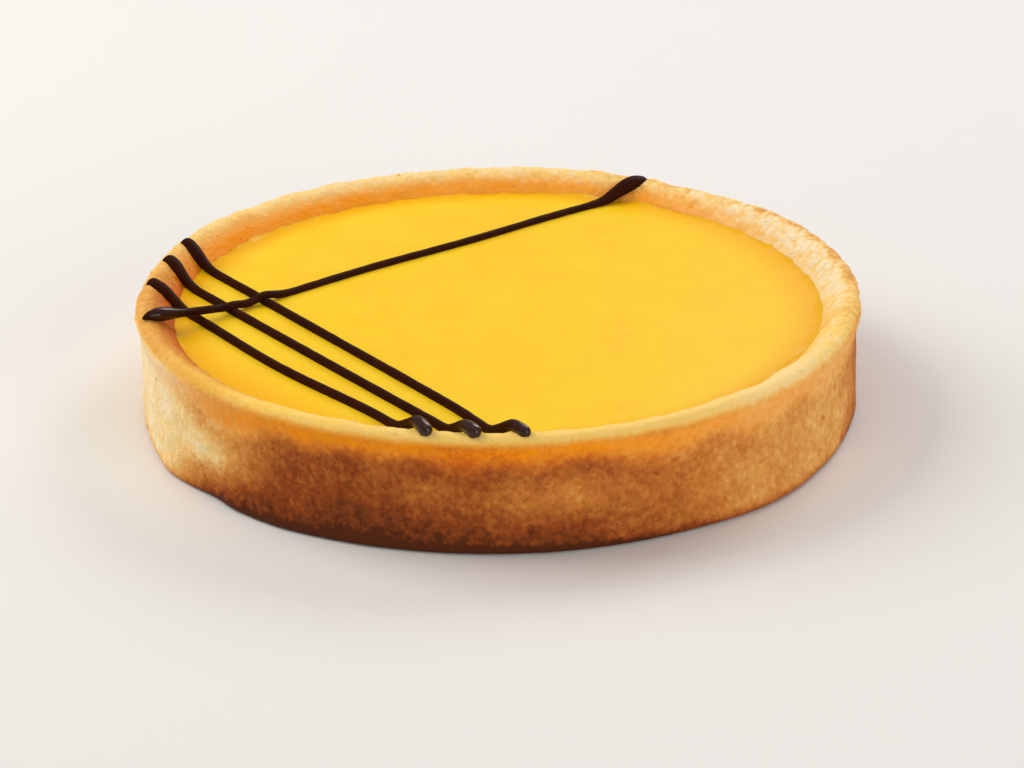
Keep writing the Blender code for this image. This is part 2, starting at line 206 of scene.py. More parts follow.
@dataclass(frozen=True)
class TartForm:
    """The tartlet's true form, and how far the baked one strays from it. Lengths are metres.

    Args:
        lip_radius: Radius of the case where it is widest, at its lip.
        rim_height: Height of the rim's crest.
        base_thickness: Thickness of the case under the filling.
        fill_depth: How far the filling's top lies below the crest.
        wall_at_filling: Thickness of the wall at the filling's top.
        crest_inset: How far in from the lip the crest lies.
        lip_drop: How far below the crest the lip lies.
        neck_inset: How far in the wall is below the lip.
        neck_drop: How far below the crest that is.
        foot_inset: How far in the wall is at the foot.
        foot_height: Height where the wall starts to round under.
        flat_inset: How far in the flat underside ends.
        foot_reach: How far up the wall the foot's swellings reach.
        inner_draft: How far the inner wall leans in on its way down.
        inner_fillet: Radius of the rounded inner corner.
        gap: Gap between the filling and the case.
        cling_height: How far the filling climbs the case.
        cling_width: Width of the strip where it does.
        wave: Height of the slow waviness of every radius.
        wave_terms: Its waves, as (share, waves round the case, phase in radians).
        crumb_relief: Height of the coarse relief.
        crumb_scale: Size of the relief's features.
        fine_share: Strength of the relief's finer layer, as a share.
        fine_scale: Size of that layer's features, as a share.
        filling_wave: Height of the slow waves of the filling's top.
        filling_wave_scale: Size of those waves.
        fall_past_lip: How far the rim falls for each metre past its lip.
        rim_rises: Where the rim stands higher or lower.
        lip_swells: Where the lip swells out.
        foot_swells: Where the foot swells out or in.
    """

    lip_radius: float = 50.0 * MM
    rim_height: float = 16.8 * MM
    base_thickness: float = 3.4 * MM
    fill_depth: float = 2.75 * MM
    wall_at_filling: float = 5.25 * MM
    crest_inset: float = 1.15 * MM
    lip_drop: float = 1.4 * MM
    neck_inset: float = 0.5 * MM
    neck_drop: float = 4.0 * MM
    foot_inset: float = 0.3 * MM
    foot_height: float = 1.0 * MM
    flat_inset: float = 1.3 * MM
    foot_reach: float = 8.8 * MM
    inner_draft: float = 0.6 * MM
    inner_fillet: float = 2.2 * MM
    gap: float = 0.3 * MM
    cling_height: float = 0.2 * MM
    cling_width: float = 1.2 * MM
    wave: float = 0.1 * MM
    wave_terms: tuple[tuple[float, float, float], ...] = ((1.0, 2.0, 0.6), (0.6, 5.0, 2.1))
    crumb_relief: float = 0.2 * MM
    crumb_scale: float = 4.5 * MM
    fine_share: float = 0.6
    fine_scale: float = 0.5
    filling_wave: float = 0.08 * MM
    filling_wave_scale: float = 22.0 * MM
    fall_past_lip: float = 4.0
    rim_rises: tuple[Bump, ...] = (
        Bump(152.0, 13.0, 0.35 * MM),
        Bump(55.0, 20.0, -0.35 * MM),
        Bump(285.0, 24.0, -0.12 * MM),
    )
    lip_swells: tuple[Bump, ...] = (
        Bump(2.0, 9.0, 0.15 * MM),
        Bump(183.0, 10.0, 0.2 * MM),
        Bump(27.0, 8.0, 0.3 * MM),
    )
    foot_swells: tuple[Bump, ...] = (
        Bump(316.0, 13.0, 0.9 * MM),
        Bump(264.0, 16.0, -0.15 * MM),
        Bump(207.0, 6.0, 0.6 * MM),
        Bump(219.0, 4.0, -0.5 * MM),
        Bump(234.0, 9.0, 0.3 * MM),
        Bump(90.0, 30.0, 0.3 * MM),
    )

    @property
    def fill_level(self) -> float:
        """Height of the filling's top."""
        return self.rim_height - self.fill_depth

    @property
    def inner_edge(self) -> float:
        """Radius where the filling meets the case."""
        return self.lip_radius - self.wall_at_filling

    @property
    def crest_radius(self) -> float:
        """Radius of the rim's highest line."""
        return self.lip_radius - self.crest_inset

    @property
    def lip_height(self) -> float:
        """Height of the case's widest line."""
        return self.rim_height - self.lip_drop

    @property
    def neck(self) -> tuple[float, float]:
        """Radius and height where the outer wall begins below the lip."""
        return self.lip_radius - self.neck_inset, self.rim_height - self.neck_drop

    @property
    def foot_radius(self) -> float:
        """Radius where the outer wall starts to round under."""
        return self.lip_radius - self.foot_inset

    @property
    def flat_radius(self) -> float:
        """Radius of the flat underside."""
        return self.lip_radius - self.flat_inset

    def wall_wave(self, azimuth: Any) -> Any:
        """Slow waviness of every radius at an azimuth in radians."""
        waves = (share * np.sin(count * azimuth + phase) for share, count, phase in self.wave_terms)
        return self.wave * sum(waves)

    def rim_weight(self, height: Any) -> Any:
        """0 at the filling's level and below, 1 at the crest."""
        return ease((height - self.fill_level) / (self.rim_height - self.fill_level))

    def inner_slope(self, radius: Any) -> Any:
        """Height of the inner slope, from the filling's edge up to the crest."""
        part = (radius - self.inner_edge) / (self.crest_radius - self.inner_edge)
        return self.fill_level + self.fill_depth * np.sin(0.5 * math.pi * np.clip(part, 0.0, 1.0))

    def outer_fall(self, radius: Any) -> Any:
        """Height of the rim outside its crest, down to the lip and steeply on past it.

        Args:
            radius: Radii in the true form.

        Returns:
            The height at each.
        """
        part = np.clip((radius - self.crest_radius) / self.crest_inset, 0.0, 1.0)
        past = np.maximum(radius - self.lip_radius, 0.0)
        height = self.rim_height - self.lip_drop * (1.0 - np.sqrt(1.0 - part * part))
        return height - self.fall_past_lip * past

    def uneven(self, radius: Any, azimuth: Any, height: Any) -> tuple[Any, Any]:
        """Where a point of the true form lies in the baked one.

        Args:
            radius: Radii in the true form.
            azimuth: Azimuths in radians, which stay.
            height: Heights in the true form.

        Returns:
            The radii and heights in the baked form.
        """
        out = self.wall_wave(azimuth) * radius / self.lip_radius
        lip = ease((height - self.neck[1]) / (self.lip_height - self.neck[1]))
        across = ease((radius - self.inner_edge) / (self.crest_radius - self.inner_edge))
        out = out + swell(azimuth, self.lip_swells) * lip * across
        foot = ease(1.0 - height / self.foot_reach) * (radius > self.flat_radius - HAIR)
        out = out + swell(azimuth, self.foot_swells) * foot
        return radius + out, height + swell(azimuth, self.rim_rises) * self.rim_weight(height)

    def wave_of_filling(self, places: np.ndarray) -> np.ndarray:
        """Slow rise and fall of the set filling's top.

        Args:
            places: Points, one a row, of which only the plan place counts.

        Returns:
            How much higher the top is at each.
        """
        flat = places.copy()
        flat[:, 2] = 0.0
        return self.filling_wave * perlin(flat, self.filling_wave_scale)

    def top_height(self, x: float, y: float) -> float:
        """Height of the uneven top at a place, over the filling or over the case.

        Args:
            x: Plan place across.
            y: Plan place front to back.

        Returns:
            The height.
        """
        azimuth = np.array(math.atan2(y, x))
        radius = math.hypot(x, y) - self.wall_wave(azimuth)
        on_slope = self.inner_slope(radius)
        height = self.outer_fall(radius) if radius > self.crest_radius else on_slope
        wave = self.wave_of_filling(np.array([[x, y, 0.0]]))[0]
        wave = wave * ease((self.inner_edge - radius) / self.cling_width)
        return float(height + swell(azimuth, self.rim_rises) * self.rim_weight(height) + wave)


FORM = TartForm()


class NodeBuilder:
    """Adds nodes to one node tree, sets them and links their sockets."""

    def __init__(self, tree: bpy.types.NodeTree) -> None:
        """Starts on a node tree."""
        self.tree = tree

    def add(
        self, kind: str, inputs: dict[Any, Any] | None = None, **settings: Any
    ) -> bpy.types.Node:
        """Adds a node.

        Args:
            kind: Blender's name of the node type.
            inputs: Values or sockets for its inputs, by name or index.
            **settings: Properties of the node.

        Returns:
            The node.
        """
        node = self.tree.nodes.new(kind)
        node.location = (NODE_SPACING * len(self.tree.nodes), 0.0)
        for name, value in settings.items():
            setattr(node, name, value)
        for key, value in (inputs or {}).items():
            if isinstance(value, bpy.types.NodeSocket):
                self.tree.links.new(value, node.inputs[key])
            else:
                node.inputs[key].default_value = value
        return node

    def math(self, operation: str, *values: Any) -> bpy.types.NodeSocket:
        """Adds a Math node on these values or sockets, and returns its output."""
        node = self.add("ShaderNodeMath", dict(enumerate(values)), operation=operation)
        return node.outputs[0]

    def vector(self, operation: str, *values: Any) -> bpy.types.NodeSocket:
        """Adds a Vector Math node on these values or sockets, and returns its vector."""
        node = self.add("ShaderNodeVectorMath", dict(enumerate(values)), operation=operation)
        return node.outputs[0]

    def scaled(self, vector: Any, factor: Any) -> bpy.types.NodeSocket:
        """Returns a vector times a factor."""
        node = self.add("ShaderNodeVectorMath", {0: vector, "Scale": factor}, operation="SCALE")
        return node.outputs[0]

    def remap(
        self, value: Any, low: float, high: float, new_low: float = 0.0, new_high: float = 1.0
    ) -> bpy.types.NodeSocket:
        """Takes a value smoothly from one range to another.

        Args:
            value: The socket to map.
            low: Where the new range starts.
            high: Where the new range ends.
            new_low: Result at and below low.
            new_high: Result at and above high.

        Returns:
            The mapped socket.
        """
        inputs = {
            "Value": value,
            "From Min": low,
            "From Max": high,
            "To Min": new_low,
            "To Max": new_high,
        }
        return self.add("ShaderNodeMapRange", inputs, interpolation_type="SMOOTHSTEP").outputs[0]

    def noise(
        self, vector: Any, scale: Any, detail: Any, roughness: float = 0.5
    ) -> bpy.types.Node:
        """Adds a Noise Texture.

        Args:
            vector: Where it is read.
            scale: Its scale.
            detail: How many finer layers it has.
            roughness: How strong the finer layers are.

        Returns:
            The node.
        """
        inputs = {"Vector": vector, "Scale": scale, "Detail": detail, "Roughness": roughness}
        return self.add("ShaderNodeTexNoise", inputs)

    def cells(self, vector: Any, scale: Any) -> bpy.types.Node:
        """Adds a Voronoi Texture of distances to the nearest cell's centre."""
        return self.add("ShaderNodeTexVoronoi", {"Vector": vector, "Scale": scale})

    def blend(self, factor: Any, first: Any, second: Any) -> bpy.types.NodeSocket:
        """Mixes two colours.

        Args:
            factor: Share of the second, 0 to 1.
            first: Colour or socket.
            second: Colour or socket.

        Returns:
            The mixed colour.
        """
        inputs = {"Factor": factor, 6: first, 7: second}
        return self.add("ShaderNodeMix", inputs, data_type="RGBA").outputs[2]

    def link(self, value: bpy.types.NodeSocket, node: bpy.types.Node, name: str) -> None:
        """Feeds a socket into a node's named input."""
        self.tree.links.new(value, node.inputs[name])

    def carried(self, name: Mark) -> bpy.types.NodeSocket:
        """Reads in Geometry Nodes the value that the mesh carries under a name."""
        node = self.add("GeometryNodeInputNamedAttribute", {"Name": name.value}, data_type="FLOAT")
        return node.outputs["Attribute"]

    def end_tree(
        self, geometry: bpy.types.NodeSocket, finish: bpy.types.NodeSocket, end: bpy.types.Node
    ) -> bpy.types.NodeTree:
        """Ends a Geometry Nodes tree: makes its instances real and gives them their finish.

        Args:
            geometry: What the tree has made.
            finish: The socket of the material.
            end: The tree's Group Output.

        Returns:
            The tree.
        """
        real = self.add("GeometryNodeRealizeInstances", {"Geometry": geometry})
        inputs = {"Geometry": real.outputs[0], "Material": finish}
        self.link(self.add("GeometryNodeSetMaterial", inputs).outputs[0], end, "Geometry")
        return self.tree


def new_group(
    name: str,
    kind: str,
    inputs: Sequence[tuple[str, str, Any]],
    outputs: Sequence[tuple[str, str]],
) -> tuple[NodeBuilder, bpy.types.Node, bpy.types.Node]:
    """Makes an empty node group with named sockets.

    Args:
        name: The group's name.
        kind: Blender's type of the tree.
        inputs: (name, socket type, default or None) of each input.
        outputs: (name, socket type) of each output.

    Returns:
        Its builder, its Group Input and its Group Output.
    """
    tree = bpy.data.node_groups.new(name, kind)
    for label, socket_type, default in inputs:
        socket = tree.interface.new_socket(label, in_out="INPUT", socket_type=socket_type)
        if default is not None:
            socket.default_value = default
    for label, socket_type in outputs:
        tree.interface.new_socket(label, in_out="OUTPUT", socket_type=socket_type)
    nodes = NodeBuilder(tree)
    return nodes, nodes.add("NodeGroupInput"), nodes.add("NodeGroupOutput")


def run_nodes(obj: bpy.types.Object, tree: bpy.types.NodeTree, values: dict[str, Any]) -> None:
    """Puts an object's mesh through a Geometry Nodes tree, and keeps the result as its mesh.

    Args:
        obj: The object, whose mesh is replaced.
        tree: The tree.
        values: Values of the tree's inputs by name.
    """
    modifier = obj.modifiers.new(tree.name, "NODES")
    modifier.node_group = tree
    items = [item for item in tree.interface.items_tree if item.in_out == "INPUT"]
    sockets = {item.name: item.identifier for item in items}
    for name, value in values.items():
        modifier[sockets[name]] = value
    graph = bpy.context.evaluated_depsgraph_get()
    source = obj.evaluated_get(graph)
    mesh = bpy.data.meshes.new_from_object(source, preserve_all_data_layers=True, depsgraph=graph)
    obj.modifiers.remove(modifier)
    mesh.name = obj.name
    obj.data = mesh


def turned_mesh(name: str, places: np.ndarray) -> bpy.types.Mesh:
    """Closed mesh from rings of points, with a point at each end of the profile.

    Args:
        name: The mesh's name.
        places: Points by ring and azimuth. The first and last rings lie on the axis.

    Returns:
        The mesh, with its faces outwards where the profile runs down its outer side.
    """
    rings, steps = places.shape[:2]
    inner = places[1:-1].reshape(-1, 3)
    vertices = np.vstack([inner, places[0, 0], places[-1, 0]])
    top, bottom = len(inner), len(inner) + 1
    faces: list[tuple[int, ...]] = []
    for j in range(steps):
        k = (j + 1) % steps
        last = (rings - 3) * steps
        faces.append((top, j, k))
        faces.append((bottom, last + k, last + j))
        for i in range(rings - 3):
            here, below = i * steps, (i + 1) * steps
            faces.append((here + j, below + j, below + k, here + k))
    mesh = bpy.data.meshes.new(name)
    mesh.from_pydata(vertices.tolist(), [], faces)
    mesh.shade_smooth()
    return mesh


def mark(mesh: bpy.types.Mesh, name: Mark, values: np.ndarray) -> None:
    """Gives a mesh a value at each vertex.

    Args:
        mesh: The mesh.
        name: Which value it is.
        values: One value for each vertex, or by ring and azimuth of a turned mesh.
    """
    if values.ndim == 2:
        values = np.concatenate([values[1:-1].ravel(), values[0, :1], values[-1, :1]])
    attribute = mesh.attributes.new(name.value, "FLOAT", "POINT")
    attribute.data.foreach_set("value", values.astype(np.float32))


def shown(name: str, mesh: bpy.types.Mesh) -> bpy.types.Object:
    """Shows a mesh in the scene, at the origin.

    Args:
        name: The object's name.
        mesh: Its mesh.

    Returns:
        The object.
    """
    obj = bpy.data.objects.new(name, mesh)
    bpy.context.scene.collection.objects.link(obj)
    return obj


class SharedEffects:
    """Shader effects that more than one finish uses, each built once as a node group.

    Args:
        mottle_roughness: How strong the patches' finer layers are.
        warp_scale: How many warps there are for each grain.
        grain_top: How far from a grain's middle it starts to fall.
        grain_side: How far from its middle it ends.
        fine_scale: How many finer bumps there are for each grain.
        fine_detail: How many layers those have.
        fine_share: How high they are, as a share of the grain.
    """

    mottle_roughness: float = 0.55
    warp_scale: float = 0.8
    grain_top: float = 0.1
    grain_side: float = 0.8
    fine_scale: float = 2.2
    fine_detail: float = 2.0
    fine_share: float = 0.5

    def __init__(self) -> None:
        """Builds the groups."""
        self.mottle = self.build_mottle()
        self.grain = self.build_grain()

    def build_mottle(self) -> bpy.types.NodeTree:
        """Soft uneven patches of a named size, as a mask about 0.5.

        Returns:
            The node group.
        """
        inputs = (
            ("Vector", "NodeSocketVector", None),
            ("Size", "NodeSocketFloat", 2.0 * MM),
            ("Detail", "NodeSocketFloat", 2.0),
            ("Contrast", "NodeSocketFloat", 1.0),
        )
        outputs = (("Mask", "NodeSocketFloat"),)
        nodes, start, end = new_group("soft_mottle", "ShaderNodeTree", inputs, outputs)
        value = start.outputs
        scale = nodes.math("DIVIDE", 1.0, value["Size"])
        patches = nodes.noise(value["Vector"], scale, value["Detail"], self.mottle_roughness)
        centred = nodes.math("SUBTRACT", patches.outputs[0], 0.5)
        nodes.link(nodes.math("MULTIPLY_ADD", centred, value["Contrast"], 0.5), end, "Mask")
        return nodes.tree

    def build_grain(self) -> bpy.types.NodeTree:
        """Rounded grains of a named size: their height, and a random value for each grain.

        Returns:
            The node group.
        """
        inputs = (("Vector", "NodeSocketVector", None), ("Size", "NodeSocketFloat", 0.4 * MM))
        outputs = (("Height", "NodeSocketFloat"), ("Shade", "NodeSocketFloat"))
        nodes, start, end = new_group("sandy_grain", "ShaderNodeTree", inputs, outputs)
        scale = nodes.math("DIVIDE", 1.0, start.outputs["Size"])
        place = nodes.scaled(start.outputs["Vector"], scale)
        shift = nodes.noise(place, self.warp_scale, 1.0).outputs["Color"]
        grains = nodes.cells(nodes.vector("ADD", place, shift), 1.0)
        distance = grains.outputs["Distance"]
        height = nodes.remap(distance, self.grain_top, self.grain_side, 1.0, 0.0)
        fine = nodes.noise(place, self.fine_scale, self.fine_detail).outputs[0]
        nodes.link(nodes.math("MULTIPLY_ADD", fine, self.fine_share, height), end, "Height")
        shade = nodes.add("ShaderNodeSeparateColor", {0: grains.outputs["Color"]}).outputs[0]
        nodes.link(shade, end, "Shade")
        return nodes.tree

    def patches(
        self,
        nodes: NodeBuilder,
        place: bpy.types.NodeSocket,
        size: float,
        contrast: float,
        detail: float,
    ) -> bpy.types.NodeSocket:
        """Places the soft patches in a material.

        Args:
            nodes: The material's builder.
            place: Its object coordinates.
            size: Size of the patches.
            contrast: How strong they are.
            detail: How many finer layers they have.

        Returns:
            Their mask.
        """
        values = {"Vector": place, "Size": size, "Detail": detail, "Contrast": contrast}
        return nodes.add("ShaderNodeGroup", values, node_tree=self.mottle).outputs["Mask"]


@dataclass(frozen=True)
class Finish:
    """What every finish has.

    Args:
        name: The material's name.
        roughness: Roughness of the surface.
        subsurface: How much light passes just under the surface.
        scatter: How far red, green and blue light passes under the surface, in metres.
        specular: Specular level.
    """

    name: str
    roughness: float
    subsurface: float
    scatter: tuple[float, float, float]
    specular: float

    def begin(self) -> tuple[bpy.types.Material, NodeBuilder, bpy.types.Node, bpy.types.NodeSocket]:
        """Makes the material with its plain values.

        Returns:
            The material, its builder, its shader, and the object coordinates.
        """
        material = bpy.data.materials.new(self.name)
        material.use_nodes = True
        shader = material.node_tree.nodes["Principled BSDF"]
        shader.inputs["Roughness"].default_value = self.roughness
        shader.inputs["Subsurface Weight"].default_value = self.subsurface
        shader.inputs["Subsurface Radius"].default_value = self.scatter
        shader.inputs["Subsurface Scale"].default_value = 1.0
        shader.inputs["Specular IOR Level"].default_value = self.specular
        nodes = NodeBuilder(material.node_tree)
        return material, nodes, shader, nodes.add("ShaderNodeTexCoord").outputs["Object"]

    def read(self, nodes: NodeBuilder, name: Mark) -> bpy.types.NodeSocket:
        """The value that the mesh carries under a name."""
        return nodes.add("ShaderNodeAttribute", attribute_name=name.value).outputs["Fac"]

    def set_bump(
        self,
        nodes: NodeBuilder,
        height: bpy.types.NodeSocket,
        distance: float,
        shader: bpy.types.Node,
    ) -> None:
        """Gives the surface a fine relief.

        Args:
            nodes: The material's builder.
            height: The relief, 0 to 1.
            distance: Its full height.
            shader: The material's shader.
        """
        bump = nodes.add("ShaderNodeBump", {"Height": height, "Distance": distance})
        nodes.link(bump.outputs["Normal"], shader, "Normal")


@dataclass(frozen=True)
class ShortcrustFinish(Finish):
    """Baked shortcrust: dry, sandy and mottled, from cream through gold to brown.

    Args:
        stages: (value of baking and painted shade, display colour) from palest to darkest.
        butter: Display colour where it is pale and buttery.
        gold: Display colour where it is moist and richly golden.
        deep_gold: Display colour where it is so and well baked.
        broad_patch: Size of the broad patches, and how much more or less baked they are.
        small_patch: Size and strength of the small patches.
        patch_detail: How many finer layers the patches have.
        gold_patch: Size of the patches where the gold is stronger or weaker.
        gold_contrast: How strong those patches are.
        gold_range: Ends of the mask's range that changes the gold.
        gold_share: Share of the gold at those ends.
        deep_range: Value of baking and painted shade where the gold starts to deepen, and where it
            is deepest.
        gold_roughness: Roughness where it is golden, as a share.
        grain: Size of the sandy grains.
        grain_shade: How much more or less baked single grains are.
        grain_height: Height of the grains.
        relief_shade: Painted light and shade of the relief: how much paler its tops and darker its
            hollows are.
    """

    name: str = "baked_shortcrust"
    roughness: float = 0.7
    subsurface: float = 0.12
    scatter: tuple[float, float, float] = (1.2 * MM, 0.6 * MM, 0.25 * MM)
    specular: float = 0.12
    stages: tuple[tuple[float, tuple[int, int, int]], ...] = (
        (0.0, (250, 231, 194)),
        (0.18, (249, 211, 138)),
        (0.38, (232, 168, 88)),
        (0.58, (207, 127, 52)),
        (0.8, (160, 78, 28)),
        (1.0, (92, 43, 18)),
    )
    butter: tuple[int, int, int] = (253, 204, 74)
    gold: tuple[int, int, int] = (255, 155, 4)
    deep_gold: tuple[int, int, int] = (212, 88, 6)
    broad_patch: tuple[float, float] = (5.0 * MM, 0.27)
    small_patch: tuple[float, float] = (1.4 * MM, 0.19)
    patch_detail: float = 3.0
    gold_patch: float = 3.2 * MM
    gold_contrast: float = 2.0
    gold_range: tuple[float, float] = (0.1, 0.9)
    gold_share: tuple[float, float] = (0.88, 1.12)
    deep_range: tuple[float, float] = (0.34, 0.78)
    gold_roughness: float = 0.6
    grain: float = 0.5 * MM
    grain_shade: float = 0.10
    grain_height: float = 0.05 * MM
    relief_shade: float = 0.12

    def build(self, effects: SharedEffects) -> bpy.types.Material:
        """Builds the material.

        Args:
            effects: The shared node groups.

        Returns:
            The material.
        """
        material, nodes, shader, place = self.begin()
        # The mesh's value holds the baking and the painted shade of the case, which the ramp turns
        # into colour.
        bake = self.read(nodes, Mark.BAKE)
        rough_here = self.read(nodes, Mark.ROUGHEN)
        for size, strength in (self.broad_patch, self.small_patch):
            patch = effects.patches(nodes, place, size, strength, self.patch_detail)
            shift = nodes.math("SUBTRACT", patch, 0.5)
            bake = nodes.math("MULTIPLY_ADD", shift, rough_here, bake)
        values = {"Vector": place, "Size": self.grain}
        grains = nodes.add("ShaderNodeGroup", values, node_tree=effects.grain).outputs
        shade = nodes.math("SUBTRACT", grains["Shade"], 0.5)
        bake = nodes.math("MULTIPLY_ADD", shade, self.grain_shade, bake)
        # Painted light and shade: the relief's tops paler and its hollows darker.
        relief = nodes.math("MULTIPLY", self.read(nodes, Mark.RELIEF), rough_here)
        bake = nodes.math("MULTIPLY_ADD", relief, -self.relief_shade, bake)
        ramp = nodes.add("ShaderNodeValToRGB", {"Fac": bake})
        self.set_stages(ramp.color_ramp)
        strength, detail = self.gold_contrast, self.patch_detail
        patch = effects.patches(nodes, place, self.gold_patch, strength, detail)
        share = nodes.remap(patch, *self.gold_range, *self.gold_share)
        gold = nodes.math("MULTIPLY", self.read(nodes, Mark.GOLD), share)
        buttery = self.read(nodes, Mark.BUTTER)
        colour = nodes.blend(buttery, ramp.outputs["Color"], linear(*self.butter))
        deep = nodes.remap(bake, *self.deep_range)
        rich = nodes.blend(deep, linear(*self.gold), linear(*self.deep_gold))
        nodes.link(nodes.blend(gold, colour, rich), shader, "Base Color")
        rough = nodes.remap(gold, 0.0, 1.0, self.roughness, self.gold_roughness * self.roughness)
        nodes.link(rough, shader, "Roughness")
        self.set_bump(nodes, grains["Height"], self.grain_height, shader)
        return material

    def set_stages(self, ramp: bpy.types.ColorRamp) -> None:
        """Puts the baking stages on a colour ramp: first their places, then their colours.

        Args:
            ramp: The ramp.
        """
        while len(ramp.elements) < len(self.stages):
            ramp.elements.new(0.5)
        for element, (place, _) in zip(ramp.elements, self.stages):
            element.position = place
        for element, (_, colour) in zip(ramp.elements, self.stages):
            element.color = linear(*colour)


@dataclass(frozen=True)
class LemonFinish(Finish):
    """Set lemon filling: smooth and yellow, deeper towards the case.

    Args:
        colour: Display colour in the middle.
        deeper: Display colour of its slightly deeper patches.
        edge: Display colour against the case: partly its own deeper colour, partly painted shade.
        patch: Size of the patches.
        patch_contrast: How strong they are.
        detail: How many finer layers the patches and the ripples have.
        mask_range: Ends of the patches' range that changes the roughness.
        sheen: Roughness at those ends, as shares.
        ripple: Size of the faint ripples.
        ripple_height: Height of the ripples.
    """

    name: str = "lemon_filling"
    roughness: float = 0.24
    subsurface: float = 0.25
    scatter: tuple[float, float, float] = (2.5 * MM, 1.4 * MM, 0.3 * MM)
    specular: float = 0.12
    colour: tuple[int, int, int] = (255, 208, 38)
    deeper: tuple[int, int, int] = (252, 198, 26)
    edge: tuple[int, int, int] = (246, 178, 8)
    patch: float = 9.0 * MM
    patch_contrast: float = 2.0
    detail: float = 2.0
    mask_range: tuple[float, float] = (0.2, 0.8)
    sheen: tuple[float, float] = (0.9, 1.15)
    ripple: float = 2.6 * MM
    ripple_height: float = 0.05 * MM

    def build(self, effects: SharedEffects) -> bpy.types.Material:
        """Builds the material.

        Args:
            effects: The shared node groups.

        Returns:
            The material.
        """
        material, nodes, shader, place = self.begin()
        patch = effects.patches(nodes, place, self.patch, self.patch_contrast, self.detail)
        colour = nodes.blend(patch, linear(*self.colour), linear(*self.deeper))
        # Deeper colour towards the case, partly painted shade where the rim shades the filling.
        colour = nodes.blend(self.read(nodes, Mark.EDGE_TINT_AND_SHADE), colour, linear(*self.edge))
        nodes.link(colour, shader, "Base Color")
        smooth, dull = (share * self.roughness for share in self.sheen)
        nodes.link(nodes.remap(patch, *self.mask_range, smooth, dull), shader, "Roughness")
        ripple = effects.patches(nodes, place, self.ripple, 1.0, self.detail)
        self.set_bump(nodes, ripple, self.ripple_height, shader)
        return material


@dataclass(frozen=True)
class ChocolateFinish(Finish):
    """Set dark chocolate: nearly black and satin, glossier where it is thickest.

    Args:
        dark: Display colour of the bulk.
        warm: Display colour of its warmer patches.
        gloss_roughness: Roughness of the gloss on its fattest places.
        patch: Size of the patches.
        patch_contrast: How strong they are.
        detail: How many finer layers they have.
        mask_range: Ends of the patches' range that changes the roughness.
        sheen: Roughness at those ends, as shares.
        dimple_height: Height of the faint dimples.
    """

    name: str = "dark_chocolate"
    roughness: float = 0.62
    subsurface: float = 0.0
    scatter: tuple[float, float, float] = (0.3 * MM, 0.15 * MM, 0.1 * MM)
    specular: float = 0.06
    dark: tuple[int, int, int] = (38, 13, 3)
    warm: tuple[int, int, int] = (58, 22, 5)
    gloss_roughness: float = 0.14
    patch: float = 2.2 * MM
    patch_contrast: float = 1.6
    detail: float = 2.0
    mask_range: tuple[float, float] = (0.2, 0.8)
    sheen: tuple[float, float] = (0.85, 1.1)
    dimple_height: float = 0.05 * MM

    def build(self, effects: SharedEffects) -> bpy.types.Material:
        """Builds the material.

        Args:
            effects: The shared node groups.

        Returns:
            The material.
        """
        material, nodes, shader, place = self.begin()
        patch = effects.patches(nodes, place, self.patch, self.patch_contrast, self.detail)
        nodes.link(nodes.blend(patch, linear(*self.dark), linear(*self.warm)), shader, "Base Color")
        smooth, dull = (share * self.roughness for share in self.sheen)
        nodes.link(nodes.remap(patch, *self.mask_range, smooth, dull), shader, "Roughness")
        nodes.link(self.read(nodes, Mark.GLOSS), shader, "Coat Weight")
        shader.inputs["Coat Roughness"].default_value = self.gloss_roughness
        self.set_bump(nodes, patch, self.dimple_height, shader)
        return material


@dataclass(frozen=True)
class Profile:
    """Points of a turned piece's profile, from the axis out, down its outer side and back.

    Args:
        radius: Their radii.
        height: Their heights.
    """

    radius: np.ndarray
    height: np.ndarray

    @classmethod
    def joined(cls, stretches: Sequence[tuple[np.ndarray, np.ndarray]]) -> "Profile":
        """Profile of some stretches of radii and heights, one after the other."""
        radii, heights = zip(*stretches)
        return cls(np.concatenate(radii), np.concatenate(heights))

    def normal(self) -> tuple[np.ndarray, np.ndarray]:
        """Outward direction at each point.

        Returns:
            Its share across and its share up.
        """
        across, down = np.gradient(self.radius), np.gradient(self.height)
        length = np.hypot(across, down)
        return -down / length, across / length


def quarter(
    centre: tuple[float, float], reach: tuple[float, float], first: float, last: float, steps: int
) -> tuple[np.ndarray, np.ndarray]:
    """Stretch of a profile along an elliptical arc.

    Args:
        centre: Radius and height of its centre.
        reach: Its two half-axes.
        first: Angle at its start, in degrees.
        last: Angle at its end, in degrees.
        steps: How many steps it has.

    Returns:
        Its radii and heights.
    """
    angle = np.radians(np.linspace(first, last, steps + 1))
    return centre[0] + reach[0] * np.cos(angle), centre[1] + reach[1] * np.sin(angle)


def inner_stretch(inset: float) -> tuple[np.ndarray, np.ndarray]:
    """The case's inside from the axis out to its wall, moved in by an inset.

    Args:
        inset: How far in from the case's own surface, in metres.

    Returns:
        Its radii and heights.
    """
    floor = FORM.base_thickness + inset
    wall = FORM.inner_edge - inset
    corner = (wall - FORM.inner_draft - FORM.inner_fillet, floor + FORM.inner_fillet)
    reach = (FORM.inner_fillet, FORM.inner_fillet)
    radii, heights = quarter(corner, reach, -90.0, 0.0, CORNER_STEPS)
    return np.insert(radii, 0, 0.0), np.insert(heights, 0, floor)


@dataclass(frozen=True)
class BakingAndShadePatch:
    """One soft patch of the wall that is more or less baked than the rest, or one of painted shade.

    Args:
        azimuth: Its middle's azimuth, in degrees.
        height: Its middle's height.
        wide: How far it reaches each way round the case, in degrees.
        tall: How far it reaches up and down.
        bake: How much more it is baked, or how much darker its painted shade makes it.
    """

    azimuth: float
    height: float
    wide: float
    tall: float
    bake: float


